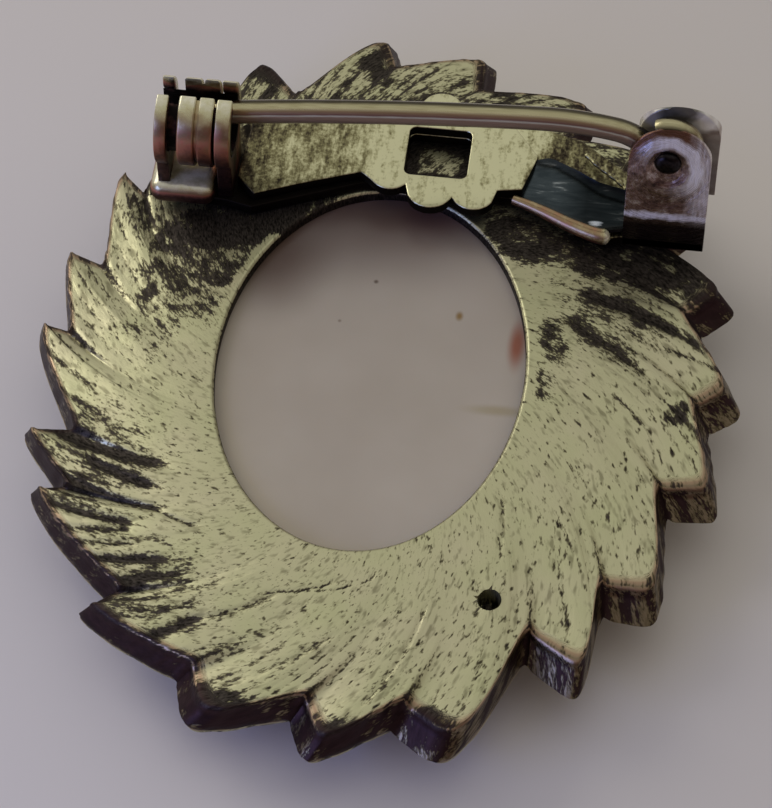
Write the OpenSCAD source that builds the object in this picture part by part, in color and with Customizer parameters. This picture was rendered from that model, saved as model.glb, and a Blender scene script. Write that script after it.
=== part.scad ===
// Oval cameo brooch lying on its face, with the back up.
// Sizes in millimetres. The floor is z = 0, the pin side is +Y and the hinge end is +X.
// Pieces: cast leaf frame, moulded cameo, pin bar, hinge rivet, hinged pin, turning catch.

/* [Cameo] */
// Half width of the oval cameo
cameo_rx = 9; // [6:0.1:15]
// Half height of the oval cameo
cameo_ry = 12.5; // [8:0.1:20]
// Thickness of the cameo from its back to its flat ground
cameo_t = 2.05; // [1.2:0.05:4]
// Rise of the carved figure above the ground
figure_h = 1.35; // [0.4:0.05:2]
// Gap left around the cameo in its pocket
cameo_gap = 0.05; // [0.02:0.01:0.2]

/* [Frame] */
// Height of the frame from the front bezel to the back face
frame_depth = 5; // [3.5:0.1:8]
// Width of the ledge that holds the back of the cameo
ledge_w = 1.4; // [0.6:0.1:2.5]
// Thickness of that ledge
ledge_t = 0.6; // [0.3:0.05:1.2]
// Overlap of the bezel lip over the front of the cameo
lip_w = 0.35; // [0.1:0.05:0.8]
// Width of the leaf ring, from the opening to the mean reach of the leaf tips
ring_w = 9.4; // [6:0.1:14]
// Turn of the leaves around the ring, in degrees over the ring width
sweep = 28; // [0:1:40]
// Step between one leaf and the next at the rim
leaf_step = 0.5; // [0:0.05:1]
// Place of the middle of the opening along X
open_x = -0.65; // [-1:0.01:1]
// Place of the middle of the opening along Y
open_y = -0.65; // [-1.5:0.01:1]
// Shift of the leaf ring toward the pin, past the middle of the opening
ring_shift = 0.55; // [0:0.05:1]
// Mean reach of the front of the rim past its back edge
flare_mean = 0.5; // [0.1:0.05:1]
// Change of that reach between the hinge side and the catch side
flare_swing = 0.3; // [0:0.05:0.5]
// Place of the small casting hole along X
pit_x = 6.6; // [6:0.05:8]
// Place of the casting hole along Y
pit_y = -13.65; // [-15:0.05:-12]
// Radius of the casting hole in the back
pit_r = 0.55; // [0.2:0.05:1]
// Depth of the casting hole under the highest part of the back
pit_deep = 1.5; // [0.6:0.1:2]

/* [Pin bar] */
// Thickness of the bar sheet
sheet_t = 0.6; // [0.3:0.05:1.2]
// Thickness of the raised pad in the middle of the bar
pad_t = 0.6; // [0.3:0.05:1.2]
// Glue gap between the frame and the bar
bar_gap = 0.05; // [0.02:0.01:0.2]
// Distance of the pin line inside the far end of the cameo
pin_in = 1.25; // [0.5:0.05:3]
// Half width of the bar at its two ends
bar_half = 2.2; // [1.6:0.1:3]
// Left end of the bar along X
bar_left = -13.15; // [-15:0.05:-11]
// Right end of the bar along X
bar_right = 15.05; // [13:0.05:17]
// Side of the square hole in the pad along X
hole_x = 3.2; // [1:0.1:4]
// Side of the square hole in the pad along Y
hole_y = 3.2; // [1:0.1:4]

/* [Hinge] */
// Distance of the rivet from the right end of the bar
rivet_in = 2.15; // [1.8:0.05:3]
// Height of the rivet above the back face of the frame
rivet_up = 5.5; // [4:0.05:7]
// Radius of the rivet shank
rivet_r = 0.45; // [0.3:0.05:0.8]
// Radius of the domed rivet heads
head_r = 0.68; // [0.5:0.02:1]
// Rise of the domed rivet heads
head_h = 0.36; // [0.2:0.02:0.6]
// Half width of an ear
ear_r = 2.05; // [1.5:0.05:3]
// Lean of the ears toward each other
ear_lean = 16; // [0:1:25]
// Height above the bar at which the ears start to lean
ear_bend = 1.85; // [1:0.05:3]
// Shift of the far ear past the near one, away from the catch
ear_shift = 0.35; // [0:0.05:0.6]

/* [Pin] */
// Radius of the tight bend next to the eye
crook_r = 2.7; // [2:0.1:4]
// Turn of the tight bend
crook_turn = 48; // [40:1:55]
// Radius of the soft bend after it
shoulder_r = 14; // [8:0.5:20]
// Turn of the soft bend
shoulder_turn = 15; // [10:1:20]
// Height of the stem over the middle of the catch, where its point starts
stem_up = 0.38; // [0:0.01:0.5]
// Radius of the pin wire
wire_r = 0.6; // [0.3:0.05:0.8]
// Length of the point of the pin
point_long = 2.1; // [1:0.1:4]
// Radius of the blunt end of the point
point_r = 0.12; // [0.05:0.01:0.3]
// Radial clearance of the pin eye on the rivet
eye_gap = 0.05; // [0.02:0.01:0.1]
// Side clearance of the pin eye between the ears
side_gap = 0.1; // [0.05:0.01:0.3]

/* [Catch] */
// Height of the middle of the catch above the back face of the frame
catch_up = 4.4; // [4:0.05:6]
// Outer radius of the catch
catch_r = 2.2; // [1.6:0.05:3]
// Radius of the hole that holds the pin
keep_r = 1.34; // [0.7:0.02:1.4]
// Radius of the collar that turns in the cheeks
collar_r = 1.55; // [1.3:0.05:1.8]
// Radial clearance of the collar in the cheeks
collar_gap = 0.05; // [0.02:0.01:0.1]
// Distance of the catch from the left end of the bar
catch_in = 0.5; // [0:0.05:1]
// Distance of the middle of the catch from the pin line, toward the cameo
catch_off = 0.45; // [0:0.05:0.5]
// Width of the catch over both cheeks
catch_w = 3.8; // [3.5:0.05:4.5]
// Width of the neck that carries a cheek
neck_w = 3; // [2:0.1:4]
// Thickness of the right cheek
cheek_t = 0.75; // [0.4:0.05:1]
// Width of the turning barrel
barrel_w = 1.75; // [1:0.05:1.95]
// Gap between the barrel and the right cheek
barrel_gap = 0.15; // [0.1:0.01:0.3]
// Near wall of the mouth, measured from the pin line
mouth_near = 0.72; // [0.55:0.01:0.8]
// Far wall of the mouth, measured from the pin line
mouth_far = 0.8; // [0.6:0.05:1.4]
// Turn of the finger tab away from straight up, toward +Y, in degrees
tab_turn = -127; // [-150:1:-90]
// Thickness of the finger tab
tab_t = 0.6; // [0.3:0.05:1]
// Length of the finger tab up to its rounded end
tab_long = 0.6; // [0.2:0.05:1.5]

/* [Hidden] */
$fn = 64;

open_rx = cameo_rx - ledge_w;
open_ry = cameo_ry - ledge_w;
pin_y = open_y + cameo_ry - pin_in;
back_z = frame_depth;
seat_z = back_z - ledge_t;
ground_z = seat_z - cameo_gap - cameo_t;
bar_z = back_z + bar_gap;
top_z = bar_z + sheet_t;
rivet_z = back_z + rivet_up;
catch_y = pin_y - catch_off;
catch_z = back_z + catch_up;
pocket = (ledge_w + cameo_gap) / ring_w;
lip = (ledge_w - lip_w) / ring_w;
coil_r = rivet_r + eye_gap + wire_r;
spot_face = wire_r + side_gap + 0.92 * sheet_t;
rivet_x = bar_right - rivet_in;
ear_long = (rivet_z - top_z - ear_bend) / cos(ear_lean);
cheek_a = bar_left + catch_in;
cheek_d = cheek_a + catch_w - cheek_t;
barrel_x = cheek_d - barrel_gap - barrel_w;
rivet_gap = 0.02;
ear_in = 0.1;
head_gap = 0.05;
// How far a cutter reaches past what it cuts
past = 1;

// The leaves in clockwise order. Angles in degrees, reaches as shares of ring_w.
// [angle of the root, reach of the root, angle of the tip, reach of the tip]
leaves = [
    [376, 0.88, 362.5, 1.06],
    [359, 0.91, 345.5, 1.06],
    [343, 0.83, 327, 1.07],
    [323, 0.85, 311, 1.1],
    [308, 0.79, 290, 1.15],
    [283.5, 0.93, 271, 1.11],
    [267, 0.9, 253, 1.12],
    [247, 0.93, 228, 1.03],
    [228.5, 0.87, 206, 1],
    [207, 0.86, 195.5, 0.99],
    [196.5, 0.76, 177, 0.98],
    [177.5, 0.83, 163.5, 0.99],
    [163.5, 0.79, 146.5, 1.02],
    [147.5, 0.84, 131, 1.08],
    [131, 0.86, 116.5, 1.15],
    [112.5, 0.87, 96, 1.17],
    [93.5, 0.97, 79, 1.12],
    [77, 0.9, 60, 1.12],
    [57.5, 0.88, 46, 1.1],
    [44.5, 0.86, 33.5, 1.08],
    [31.5, 0.86, 19.5, 1.08]
];
// Rim between a root and its tip: [share of the turn, share of the rise]
rise = [[0, 0], [0.15, 0.08], [0.31, 0.24], [0.46, 0.42], [0.6, 0.6], [0.74, 0.78], [0.88, 0.94], [1, 1]];
// Rim between a tip and the next root: [share of the turn, share of the rise left]
drop = [[0.28, 0.86], [0.55, 0.52], [0.8, 0.2]];
// Section of the ring from the ledge over the back, the rim and the front to the pocket.
// [share of the rim reach, own reach, height as a share of frame_depth, share of leaf_step, share of the flare]
profile = [
    [0, 0, seat_z / frame_depth, 0, 0],
    [0, 0, 0.975, 0, 0],
    [0, 0.015, 1, 0, 0],
    [0.2, 0, 0.99, 0.1, 0],
    [0.4, 0, 0.965, 0.35, 0],
    [0.6, 0, 0.925, 0.7, 0],
    [0.8, 0, 0.875, 1, 0],
    [0.93, 0, 0.84, 1, 0],
    [0.985, 0, 0.81, 1, 0],
    [1, 0, 0.74, 1, 0],
    [1, 0, 0.57, 0.6, 1],
    [1, 0, 0.49, 0.6, 0.75],
    [0.85, 0, 0.34, 0.4, 0],
    [0.58, 0, 0.26, 0.2, 0],
    [0, 0.35, 0.21, 0, 0],
    [0, 0.32, 0.03, 0, 0],
    [0, 0.3, 0, 0, 0],
    [0, 0.255, 0, 0, 0],
    [0, lip, ground_z / frame_depth - 0.1, 0, 0],
    [0, pocket, ground_z / frame_depth - 0.03, 0, 0],
    [0, pocket, seat_z / frame_depth, 0, 0]
];
// Outlines of the figure on the cameo, seen from the front: [across, up] in shares of cameo_ry
bust = [
    [-0.215, 0.485], [-0.25, 0.43], [-0.262, 0.385], [-0.258, 0.355], [-0.243, 0.335], [-0.262, 0.295],
    [-0.29, 0.25], [-0.312, 0.228], [-0.302, 0.212], [-0.268, 0.205], [-0.262, 0.19], [-0.278, 0.172],
    [-0.268, 0.158], [-0.272, 0.142], [-0.256, 0.122], [-0.262, 0.098], [-0.248, 0.074], [-0.215, 0.062],
    [-0.15, 0.08], [-0.1, 0.07], [-0.085, 0.02], [-0.09, -0.06], [-0.115, -0.13], [-0.17, -0.185],
    [-0.24, -0.24], [-0.285, -0.33], [-0.27, -0.43], [-0.2, -0.52], [-0.08, -0.565], [0.06, -0.55],
    [0.19, -0.49], [0.3, -0.4], [0.335, -0.3], [0.3, -0.2], [0.22, -0.12], [0.145, -0.06],
    [0.12, 0.02], [0.13, 0.1], [0.2, 0.2], [0.24, 0.32], [0.225, 0.43], [0.16, 0.52],
    [0.05, 0.565], [-0.06, 0.56], [-0.15, 0.53]
];
hair = [
    [-0.225, 0.47], [-0.15, 0.44], [-0.11, 0.38], [-0.06, 0.31], [-0.02, 0.25], [0.03, 0.2],
    [0.1, 0.13], [0.17, 0.12], [0.22, 0.18], [0.28, 0.22], [0.36, 0.26], [0.4, 0.34],
    [0.37, 0.43], [0.3, 0.47], [0.24, 0.5], [0.17, 0.57], [0.06, 0.61], [-0.06, 0.61],
    [-0.16, 0.57], [-0.21, 0.52]
];
curl = [
    [0.06, 0.14], [0.12, 0.16], [0.17, 0.05], [0.2, -0.04], [0.18, -0.12], [0.12, -0.17],
    [0.09, -0.12], [0.12, -0.05], [0.1, 0.03]
];
drape = [
    [-0.27, -0.43], [-0.2, -0.52], [-0.08, -0.565], [0.06, -0.55], [0.19, -0.49], [0.3, -0.4],
    [0.335, -0.3], [0.3, -0.25], [0.2, -0.32], [0.08, -0.38], [-0.05, -0.4], [-0.16, -0.37], [-0.26, -0.3]
];
// The same figure as raised layers: [outline, rise as a share of figure_h, width of the rounded edge]
layers = [[bust, 0.64, 0.1], [hair, 0.95, 0.09], [curl, 0.85, 0.045], [drape, 0.82, 0.06]];
// The wire pieces stop this far from each join, inside a ball a little wider than the wire
join_back = 0.08;
join_r = wire_r + 0.02;
// Angle on the eye at which the pin wire leaves it
enter = 210;
// Turn of the wire around the rivet, up to its cut end
loop_turn = 270;
// Outline of the bar sheet: [share of its length, shares of bar_half off the pin line]
bar_edge = [
    [0, -0.86], [0.142, -1], [0.188, -1.14], [0.273, -0.68], [0.383, -0.09],
    [0.667, -0.18], [0.745, -0.64], [0.816, -1.14], [0.851, -1], [1, -1], [1, 1], [0.844, 1],
    [0.812, 1.32], [0.766, 1.77], [0.66, 2.18], [0.532, 2.41], [0.404, 2.36], [0.277, 2.05],
    [0.163, 1.5], [0.121, 1], [0, 1]
];
// Outline of the raised pad, in the same shares
pad_edge = [
    [0.156, -0.46], [0.191, -0.95], [0.273, -0.5], [0.376, 0], [0.394, -0.18], [0.624, -0.18],
    [0.674, 0.09], [0.706, 1.18], [0.638, 2], [0.546, 2.27], [0.461, 2.27], [0.355, 2.09],
    [0.248, 1.73], [0.167, 1.32]
];
// Rounded scallops on the edge of the pad: [share of the length, share of bar_half, radius as a share]
scallops = [[0.429, 0.05, 0.48], [0.504, -0.32, 0.55], [0.582, -0.3, 0.52], [0.504, 2.14, 0.5]];
// Middle of the square hole, in the same shares
hole_at = [0.509, 0.8];

function half_x(v) = open_rx + ring_w * v;
function half_y(v) = open_ry + ring_w * v;
function on_ring(a, v, z) = [
    open_x + half_x(v) * cos(a),
    open_y + ring_shift * max(0, v - pocket) + half_y(v) * sin(a),
    z
];
function next_root(i) = i + 1 < len(leaves) ? leaves[i + 1] : [leaves[0][0] - 360, leaves[0][1]];
// Points of the rim: [angle, reach, share of the way through the leaf]
function leaf_rim(i) = let (k = leaves[i], n = next_root(i), all = len(rise) + len(drop)) concat(
    [for (j = [0:len(rise) - 1])
        [k[0] + rise[j][0] * (k[2] - k[0]), k[1] + rise[j][1] * (k[3] - k[1]), j / all]],
    [for (j = [0:len(drop) - 1])
        [k[2] + drop[j][0] * (n[0] - k[2]), n[1] + drop[j][1] * (k[3] - n[1]), (len(rise) + j) / all]]
);
rim = [for (i = [0:len(leaves) - 1]) each leaf_rim(i)];
function lift(share) = leaf_step * (0.5 - share);
function flare(a) = (flare_mean + flare_swing * cos(a + 30)) / ring_w;
function section(p) = [for (q = profile)
    let (v = q[0] * p[1] + q[1] + q[4] * flare(p[0]))
    on_ring(p[0] + sweep * (p[1] - v), v, frame_depth * q[2] + lift(p[2]) * q[3])];

function on_bar(p) = [bar_left + p[0] * (bar_right - bar_left), pin_y + p[1] * bar_half];

// Distance from a place to one side of an outline
function side_gap_to(p, q, x, y) = let (
    e = q - p,
    t = max(0, min(1, ((x - p[0]) * e[0] + (y - p[1]) * e[1]) / (e * e)))
) norm([x - p[0] - t * e[0], y - p[1] - t * e[1]]);
function crosses(p, q, x, y) = (p[1] > y) != (q[1] > y)
    && x < p[0] + (q[0] - p[0]) * (y - p[1]) / (q[1] - p[1]) ? 1 : 0;
// Depth of a place inside an outline, or 0 outside it
function inside(o, x, y) = let (
    n = len(o),
    hits = [for (i = [0:n - 1]) crosses(o[i], o[(i + 1) % n], x, y)] * [for (i = [0:n - 1]) 1]
) hits % 2 == 0 ? 0 : min([for (i = [0:n - 1]) side_gap_to(o[i], o[(i + 1) % n], x, y)]);
// Rise of the figure at a place given in shares of cameo_ry, seen from the front
function figure(x, y) = max([for (k = layers)
    let (d = min(1, inside(k[0], x, y) / k[2]))
    k[1] * sqrt(d * (2 - d))]);

module frame() {
    many = len(rim);
    deep = len(profile);
    color([0.74, 0.73, 0.56])
    difference() {
        polyhedron(
            points = [for (p = rim) each section(p)],
            faces = [for (i = [0:many - 1]) for (j = [0:deep - 1])
                let (a = i * deep + j, b = i * deep + (j + 1) % deep)
                let (c = ((i + 1) % many) * deep + j, d = ((i + 1) % many) * deep + (j + 1) % deep)
                each [[a, b, d], [a, d, c]]]
        );
        translate([pit_x, pit_y, back_z - pit_deep])
            cylinder(r = pit_r, h = pit_deep + past, $fn = 24);
    }
}

module cameo() {
    spokes = 84;
    rings = 25;
    rim_in = 0.4;
    ring = function(k, z) [for (i = [0:spokes - 1])
        let (a = 360 * i / spokes)
        [open_x + k * cameo_rx * cos(a), open_y + k * cameo_ry * sin(a), z]];
    face = function(k) [for (i = [0:spokes - 1])
        let (a = 360 * i / spokes, x = k * (cameo_rx - rim_in) * cos(a), y = k * (cameo_ry - rim_in) * sin(a))
        [open_x + x, open_y + y, ground_z - figure_h * figure(-x / cameo_ry, y / cameo_ry)]];
    rows = concat(
        [ring(1, seat_z - cameo_gap), ring(1, ground_z + rim_in)],
        [for (k = [0:rings - 1]) face(1 - k / rings)]
    );
    flat = [for (r = rows) each r];
    last = len(rows) - 1;
    color([0.8, 0.76, 0.72])
    polyhedron(
        points = concat(flat, [
            [open_x, open_y, seat_z - cameo_gap],
            [open_x, open_y, ground_z - figure_h * figure(0, 0)]
        ]),
        faces = concat(
            [for (j = [0:last - 1]) for (i = [0:spokes - 1])
                let (a = j * spokes + i, b = j * spokes + (i + 1) % spokes)
                each [[a, a + spokes, b + spokes], [a, b + spokes, b]]],
            [for (i = [0:spokes - 1]) [len(flat), i, (i + 1) % spokes]],
            [for (i = [0:spokes - 1])
                [len(flat) + 1, last * spokes + (i + 1) % spokes, last * spokes + i]]
        )
    );
}

// One ear of the hinge: near (side -1) or far (side 1), moved along the bar by more_x
module ear(side, more_x) {
    translate([rivet_x + more_x, pin_y, 0])
    mirror([0, side < 0 ? 0 : 1, 0])
    difference() {
        union() {
            translate([ear_in - ear_r, -bar_half, bar_z])
                cube([2 * ear_r, sheet_t, sheet_t + ear_bend]);
            translate([ear_in, -bar_half, top_z + ear_bend])
            rotate([-ear_lean, 0, 0])
            rotate([90, 0, 0])
            translate([0, 0, -sheet_t])
            linear_extrude(sheet_t)
            union() {
                translate([-ear_r, -0.25 * sheet_t])
                    square([2 * ear_r, ear_long + 0.25 * sheet_t]);
                translate([0, ear_long])
                    circle(r = ear_r);
            }
        }
        translate([-more_x, 0, rivet_z])
        rotate([90, 0, 0]) {
            cylinder(r = rivet_r + rivet_gap, h = 4 * bar_half, center = true);
            translate([0, 0, spot_face])
                cylinder(r = head_r + head_gap, h = bar_half);
        }
        translate([-2 * ear_r, -wire_r - side_gap, rivet_z - 2 * ear_r])
            cube([4 * ear_r, bar_half, 4 * ear_r]);
    }
}

module cheek(x, wide) {
    difference() {
        union() {
            translate([x, catch_y, catch_z])
            rotate([0, 90, 0])
                cylinder(r = catch_r, h = wide);
            translate([x, catch_y - neck_w / 2, bar_z])
                cube([wide, neck_w, catch_up - catch_r / 2]);
        }
        translate([x - past, catch_y, catch_z])
        rotate([0, 90, 0])
            cylinder(r = collar_r + collar_gap, h = wide + 2 * past);
        translate([x - past, pin_y - mouth_near, catch_z])
            cube([wide + 2 * past, mouth_near + mouth_far, catch_r + past]);
    }
}

module pad() {
    difference() {
        union() {
            polygon([for (p = pad_edge) on_bar(p)]);
            for (s = scallops)
                translate(on_bar(s))
                    circle(r = s[2] * bar_half, $fn = 32);
        }
        translate(on_bar(hole_at))
            square([hole_x, hole_y], center = true);
    }
}

module pin_bar() {
    color([0.72, 0.72, 0.7])
    union() {
        translate([0, 0, bar_z])
        linear_extrude(sheet_t)
        difference() {
            polygon([for (p = bar_edge) on_bar(p)]);
            translate(on_bar(hole_at))
                square([hole_x, hole_y], center = true);
        }
        translate([0, 0, bar_z])
        linear_extrude(sheet_t + pad_t)
            pad();
        ear(-1, 0);
        ear(1, ear_shift);
        cheek(cheek_a, sheet_t);
        cheek(cheek_d, cheek_t);
    }
}

module hinge_rivet() {
    color([0.2, 0.19, 0.2])
    translate([rivet_x, pin_y, rivet_z])
    rotate([90, 0, 0])
    union() {
        cylinder(r = rivet_r, h = 2 * (spot_face + head_gap), center = true);
        for (side = [0, 1])
            mirror([0, 0, side])
            translate([0, 0, spot_face + rivet_gap])
            intersection() {
                dome_r = (head_r * head_r + head_h * head_h) / (2 * head_h);
                translate([0, 0, head_h - dome_r])
                    sphere(r = dome_r);
                cylinder(r = head_r, h = 2 * head_h);
            }
    }
}

// A place on the bent wire: [x, z, angle of the bend's radius, toward the wire]
function after(p, r, turn) = [
    p[0] + r * (cos(p[2] + turn) - cos(p[2])),
    p[1] + r * (sin(p[2] + turn) - sin(p[2])),
    p[2] + turn
];
crook = [rivet_x + coil_r * cos(enter), rivet_z + coil_r * sin(enter), enter - 180];
shoulder = after(crook, crook_r, crook_turn);
stem = after(shoulder, shoulder_r, shoulder_turn);
// The stem is the arc that leaves the soft bend and meets the start of the point in the catch
reach = [barrel_x + barrel_w - stem[0], catch_z + stem_up - stem[1]];
inward = -reach * [cos(stem[2]), sin(stem[2])];
stem_r = reach * reach / (2 * inward);
stem_turn = 2 * atan2(inward, reach * [-sin(stem[2]), cos(stem[2])]);
point = after(stem, stem_r, stem_turn);

// A length of the wire bent around the origin, from a start angle over a turn
module wire(r, from, turn) {
    back = join_back / r * 180 / PI;
    rotate([90, 0, 0])
    rotate([0, 0, from + back])
    rotate_extrude(angle = turn - 2 * back, $fn = 720)
    translate([r, 0])
        circle(r = wire_r, $fn = 32);
}

// The same length, from a place on the wire, with the ball that joins it to the one before
module bend(p, r, turn) {
    translate([p[0] - r * cos(p[2]), 0, p[1] - r * sin(p[2])])
        wire(r, p[2], turn);
    translate([p[0], 0, p[1]])
        sphere(r = join_r, $fn = 32);
}

module pin() {
    color([0.7, 0.69, 0.62])
    translate([0, pin_y, 0])
    difference() {
        union() {
            translate([rivet_x, 0, rivet_z]) {
                wire(coil_r, enter, loop_turn);
                rotate([90, 0, 0])
                    cylinder(r = coil_r, h = 1.6 * wire_r, center = true);
            }
            bend(crook, crook_r, crook_turn);
            bend(shoulder, shoulder_r, shoulder_turn);
            bend(stem, stem_r, stem_turn);
            translate([point[0], 0, point[1]]) {
                sphere(r = join_r, $fn = 32);
                rotate([0, -point[2], 0])
                translate([0, 0, join_back])
                    cylinder(r1 = wire_r, r2 = point_r, h = point_long, $fn = 32);
            }
        }
        translate([rivet_x, 0, rivet_z])
        rotate([90, 0, 0])
            cylinder(r = rivet_r + eye_gap, h = 8 * wire_r, center = true);
    }
}

module catch_barrel() {
    color([0.75, 0.72, 0.66])
    translate([0, catch_y, catch_z])
    difference() {
        union() {
            translate([cheek_a, 0, 0])
            rotate([0, 90, 0])
                cylinder(r = collar_r, h = catch_w);
            translate([barrel_x, 0, 0])
            rotate([0, 90, 0])
            difference() {
                cylinder(r = catch_r, h = barrel_w);
                translate([0, 0, 0.45 * barrel_w])
                difference() {
                    cylinder(r = catch_r + past, h = 0.16 * barrel_w);
                    translate([0, 0, -past])
                        cylinder(r = 0.88 * catch_r, h = barrel_w + 2 * past);
                }
            }
            rotate([tab_turn, 0, 0])
            translate([barrel_x, -tab_t / 2, 0.85 * catch_r]) {
                cube([barrel_w, tab_t, tab_long]);
                translate([barrel_w / 2, 0, tab_long])
                rotate([-90, 0, 0])
                    cylinder(r = barrel_w / 2, h = tab_t, $fn = 32);
            }
        }
        translate([cheek_a - past, 0, 0])
        rotate([0, 90, 0])
            cylinder(r = keep_r, h = catch_w + 2 * past);
        translate([cheek_a - past, catch_off - mouth_near, 0])
            cube([catch_w + 2 * past, mouth_near + mouth_far, catch_r + past]);
    }
}

frame();
cameo();
pin_bar();
hinge_rivet();
pin();
catch_barrel();
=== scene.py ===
import contextlib
import functools
import math

import bpy
import numpy as np
from mathutils import Matrix, Vector


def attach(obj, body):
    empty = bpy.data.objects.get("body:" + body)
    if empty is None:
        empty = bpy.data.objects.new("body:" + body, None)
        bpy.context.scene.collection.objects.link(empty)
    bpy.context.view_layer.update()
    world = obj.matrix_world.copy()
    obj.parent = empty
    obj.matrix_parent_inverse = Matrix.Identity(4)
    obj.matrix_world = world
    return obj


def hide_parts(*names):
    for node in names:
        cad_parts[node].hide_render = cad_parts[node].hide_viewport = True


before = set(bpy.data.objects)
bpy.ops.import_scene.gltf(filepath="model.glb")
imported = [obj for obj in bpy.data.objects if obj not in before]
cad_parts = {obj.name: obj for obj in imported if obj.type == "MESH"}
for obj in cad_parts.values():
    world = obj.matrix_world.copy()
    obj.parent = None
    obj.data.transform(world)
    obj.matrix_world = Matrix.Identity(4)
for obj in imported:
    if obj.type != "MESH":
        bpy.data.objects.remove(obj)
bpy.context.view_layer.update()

bl_info = {
    "name": "Oval cameo brooch",
    "version": (1, 0, 0),
    "blender": (4, 5, 0),
    "location": "View3D > Sidebar > Brooch",
    "description": "Dresses the oval cameo brooch: cast leaf frame, cameo, pin bar, hinge, pin and catch",
    "category": "Add Mesh",
}

MM = 0.001

# The setting, in millimetres, as in the part's source.
CAMEO_RX, CAMEO_RY = 9.0, 12.5
OPEN_X, OPEN_Y = -0.65, -0.65
OPEN_RX, OPEN_RY = 7.6, 11.1
RING_W, SWEEP, RING_SHIFT = 9.4, 28.0, 0.55
LEAF_STEP = 0.5
SEAT_Z, GROUND_Z = 4.4, 2.3
POCKET, LIP = 1.45 / RING_W, 1.05 / RING_W
FLARE_MEAN, FLARE_SWING = 0.5, 0.3
FIGURE_H, RIM_IN = 1.35, 0.4
# The casting hole, the radius that the marks of the casting are laid on, the place that
# shows through the hole of the pad, framed by the painted shadow of the hole's walls, and the
# middle of the polishing rings and of the painted highlight ring on the near ear under the rivet.
PIT_X, PIT_Y, PIT_Z, PIT_R, PIT_LIP = 6.6, -13.65, 3.6, 0.56, 0.8
FLOW_R = 14
HOLE_SHADE_X, HOLE_SHADE_Y, HOLE_SHADE_UP = 1.3, 0.95, 0.45
POLISH_AND_HIGHLIGHT_DROP = 0.3

# The pin bar, the hinge, the pin and the catch.
BAR_Z, SHEET_T, PAD_T = 5.05, 0.6, 0.6
TOP_Z = BAR_Z + SHEET_T
PIN_Y, CATCH_Y, BAR_HALF = 10.6, 10.15, 2.2
BAR_LEFT, BAR_RIGHT = -13.15, 15.05
RIVET_X, RIVET_Z, RIVET_R = 12.9, 10.5, 0.45
HEAD_R, HEAD_H = 0.68, 0.36
EAR_R, EAR_BEND, EAR_SHIFT, EAR_IN = 2.05, 1.85, 0.35, 0.1
EAR_LEAN = math.radians(16)
EAR_LONG = (RIVET_Z - TOP_Z - EAR_BEND) / math.cos(EAR_LEAN)
WIRE_R, EYE_GAP, SIDE_GAP, STEM_UP = 0.6, 0.05, 0.1, 0.38
CATCH_Z, CATCH_R, KEEP_R, COLLAR_R = 9.4, 2.2, 1.34, 1.55
CHEEK_A, CATCH_W, CHEEK_T = -12.65, 3.8, 0.75
BARREL_X, BARREL_W = -11.5, 1.75
MOUTH_NEAR, MOUTH_FAR, NECK_W = 0.72, 0.8, 3.0
BASE_LOW, BASE_HIGH = (-13.1, 8.1), (-9.75, 12.7)
TAB_TURN, TAB_T, TAB_LONG = -127.0, 0.6, 0.6
# The wire: where its eye ends, and the radius and the turn of its crook and of its shoulder.
EYE_END, EYE_POINTS = 210, 44
CROOK_R, CROOK_TURN, SHOULDER_R, SHOULDER_TURN = 2.7, 48, 14, 15

# The picture: the place, aim and size of both lamps, the strengths of the second and of the sky,
# the place looked at, and the camera's angles, distance and lens.
KEY = (-182, 105, 122), (0, 0, 0), 140
FILL = (-105, -90, 55), (-60, -60, 0), 80
FILL_POWER, SKY_POWER = 0.07, 0.65
AIM = Vector((0.27, -1.95, 3.6)) * MM
CAMERA_TURN, CAMERA_RISE = math.radians(7), math.radians(53)
CAMERA_FAR, LENS, SENSOR = 180 * MM, 162.8, 36

# Leaves in clockwise order: angle and reach of the root, angle and reach of the tip.
LEAVES = [
    (376, 0.88, 362.5, 1.06), (359, 0.91, 345.5, 1.06), (343, 0.83, 327, 1.07),
    (323, 0.85, 311, 1.1), (308, 0.79, 290, 1.15), (283.5, 0.93, 271, 1.11),
    (267, 0.9, 253, 1.12), (247, 0.93, 228, 1.03), (228.5, 0.87, 206, 1),
    (207, 0.86, 195.5, 0.99), (196.5, 0.76, 177, 0.98), (177.5, 0.83, 163.5, 0.99),
    (163.5, 0.79, 146.5, 1.02), (147.5, 0.84, 131, 1.08), (131, 0.86, 116.5, 1.15),
    (112.5, 0.87, 96, 1.17), (93.5, 0.97, 79, 1.12), (77, 0.9, 60, 1.12),
    (57.5, 0.88, 46, 1.1), (44.5, 0.86, 33.5, 1.08), (31.5, 0.86, 19.5, 1.08),
]
RISE = [(0, 0), (0.15, 0.08), (0.31, 0.24), (0.46, 0.42), (0.6, 0.6), (0.74, 0.78), (0.88, 0.94), (1, 1)]
DROP = [(0.28, 0.86), (0.55, 0.52), (0.8, 0.2)]

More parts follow.
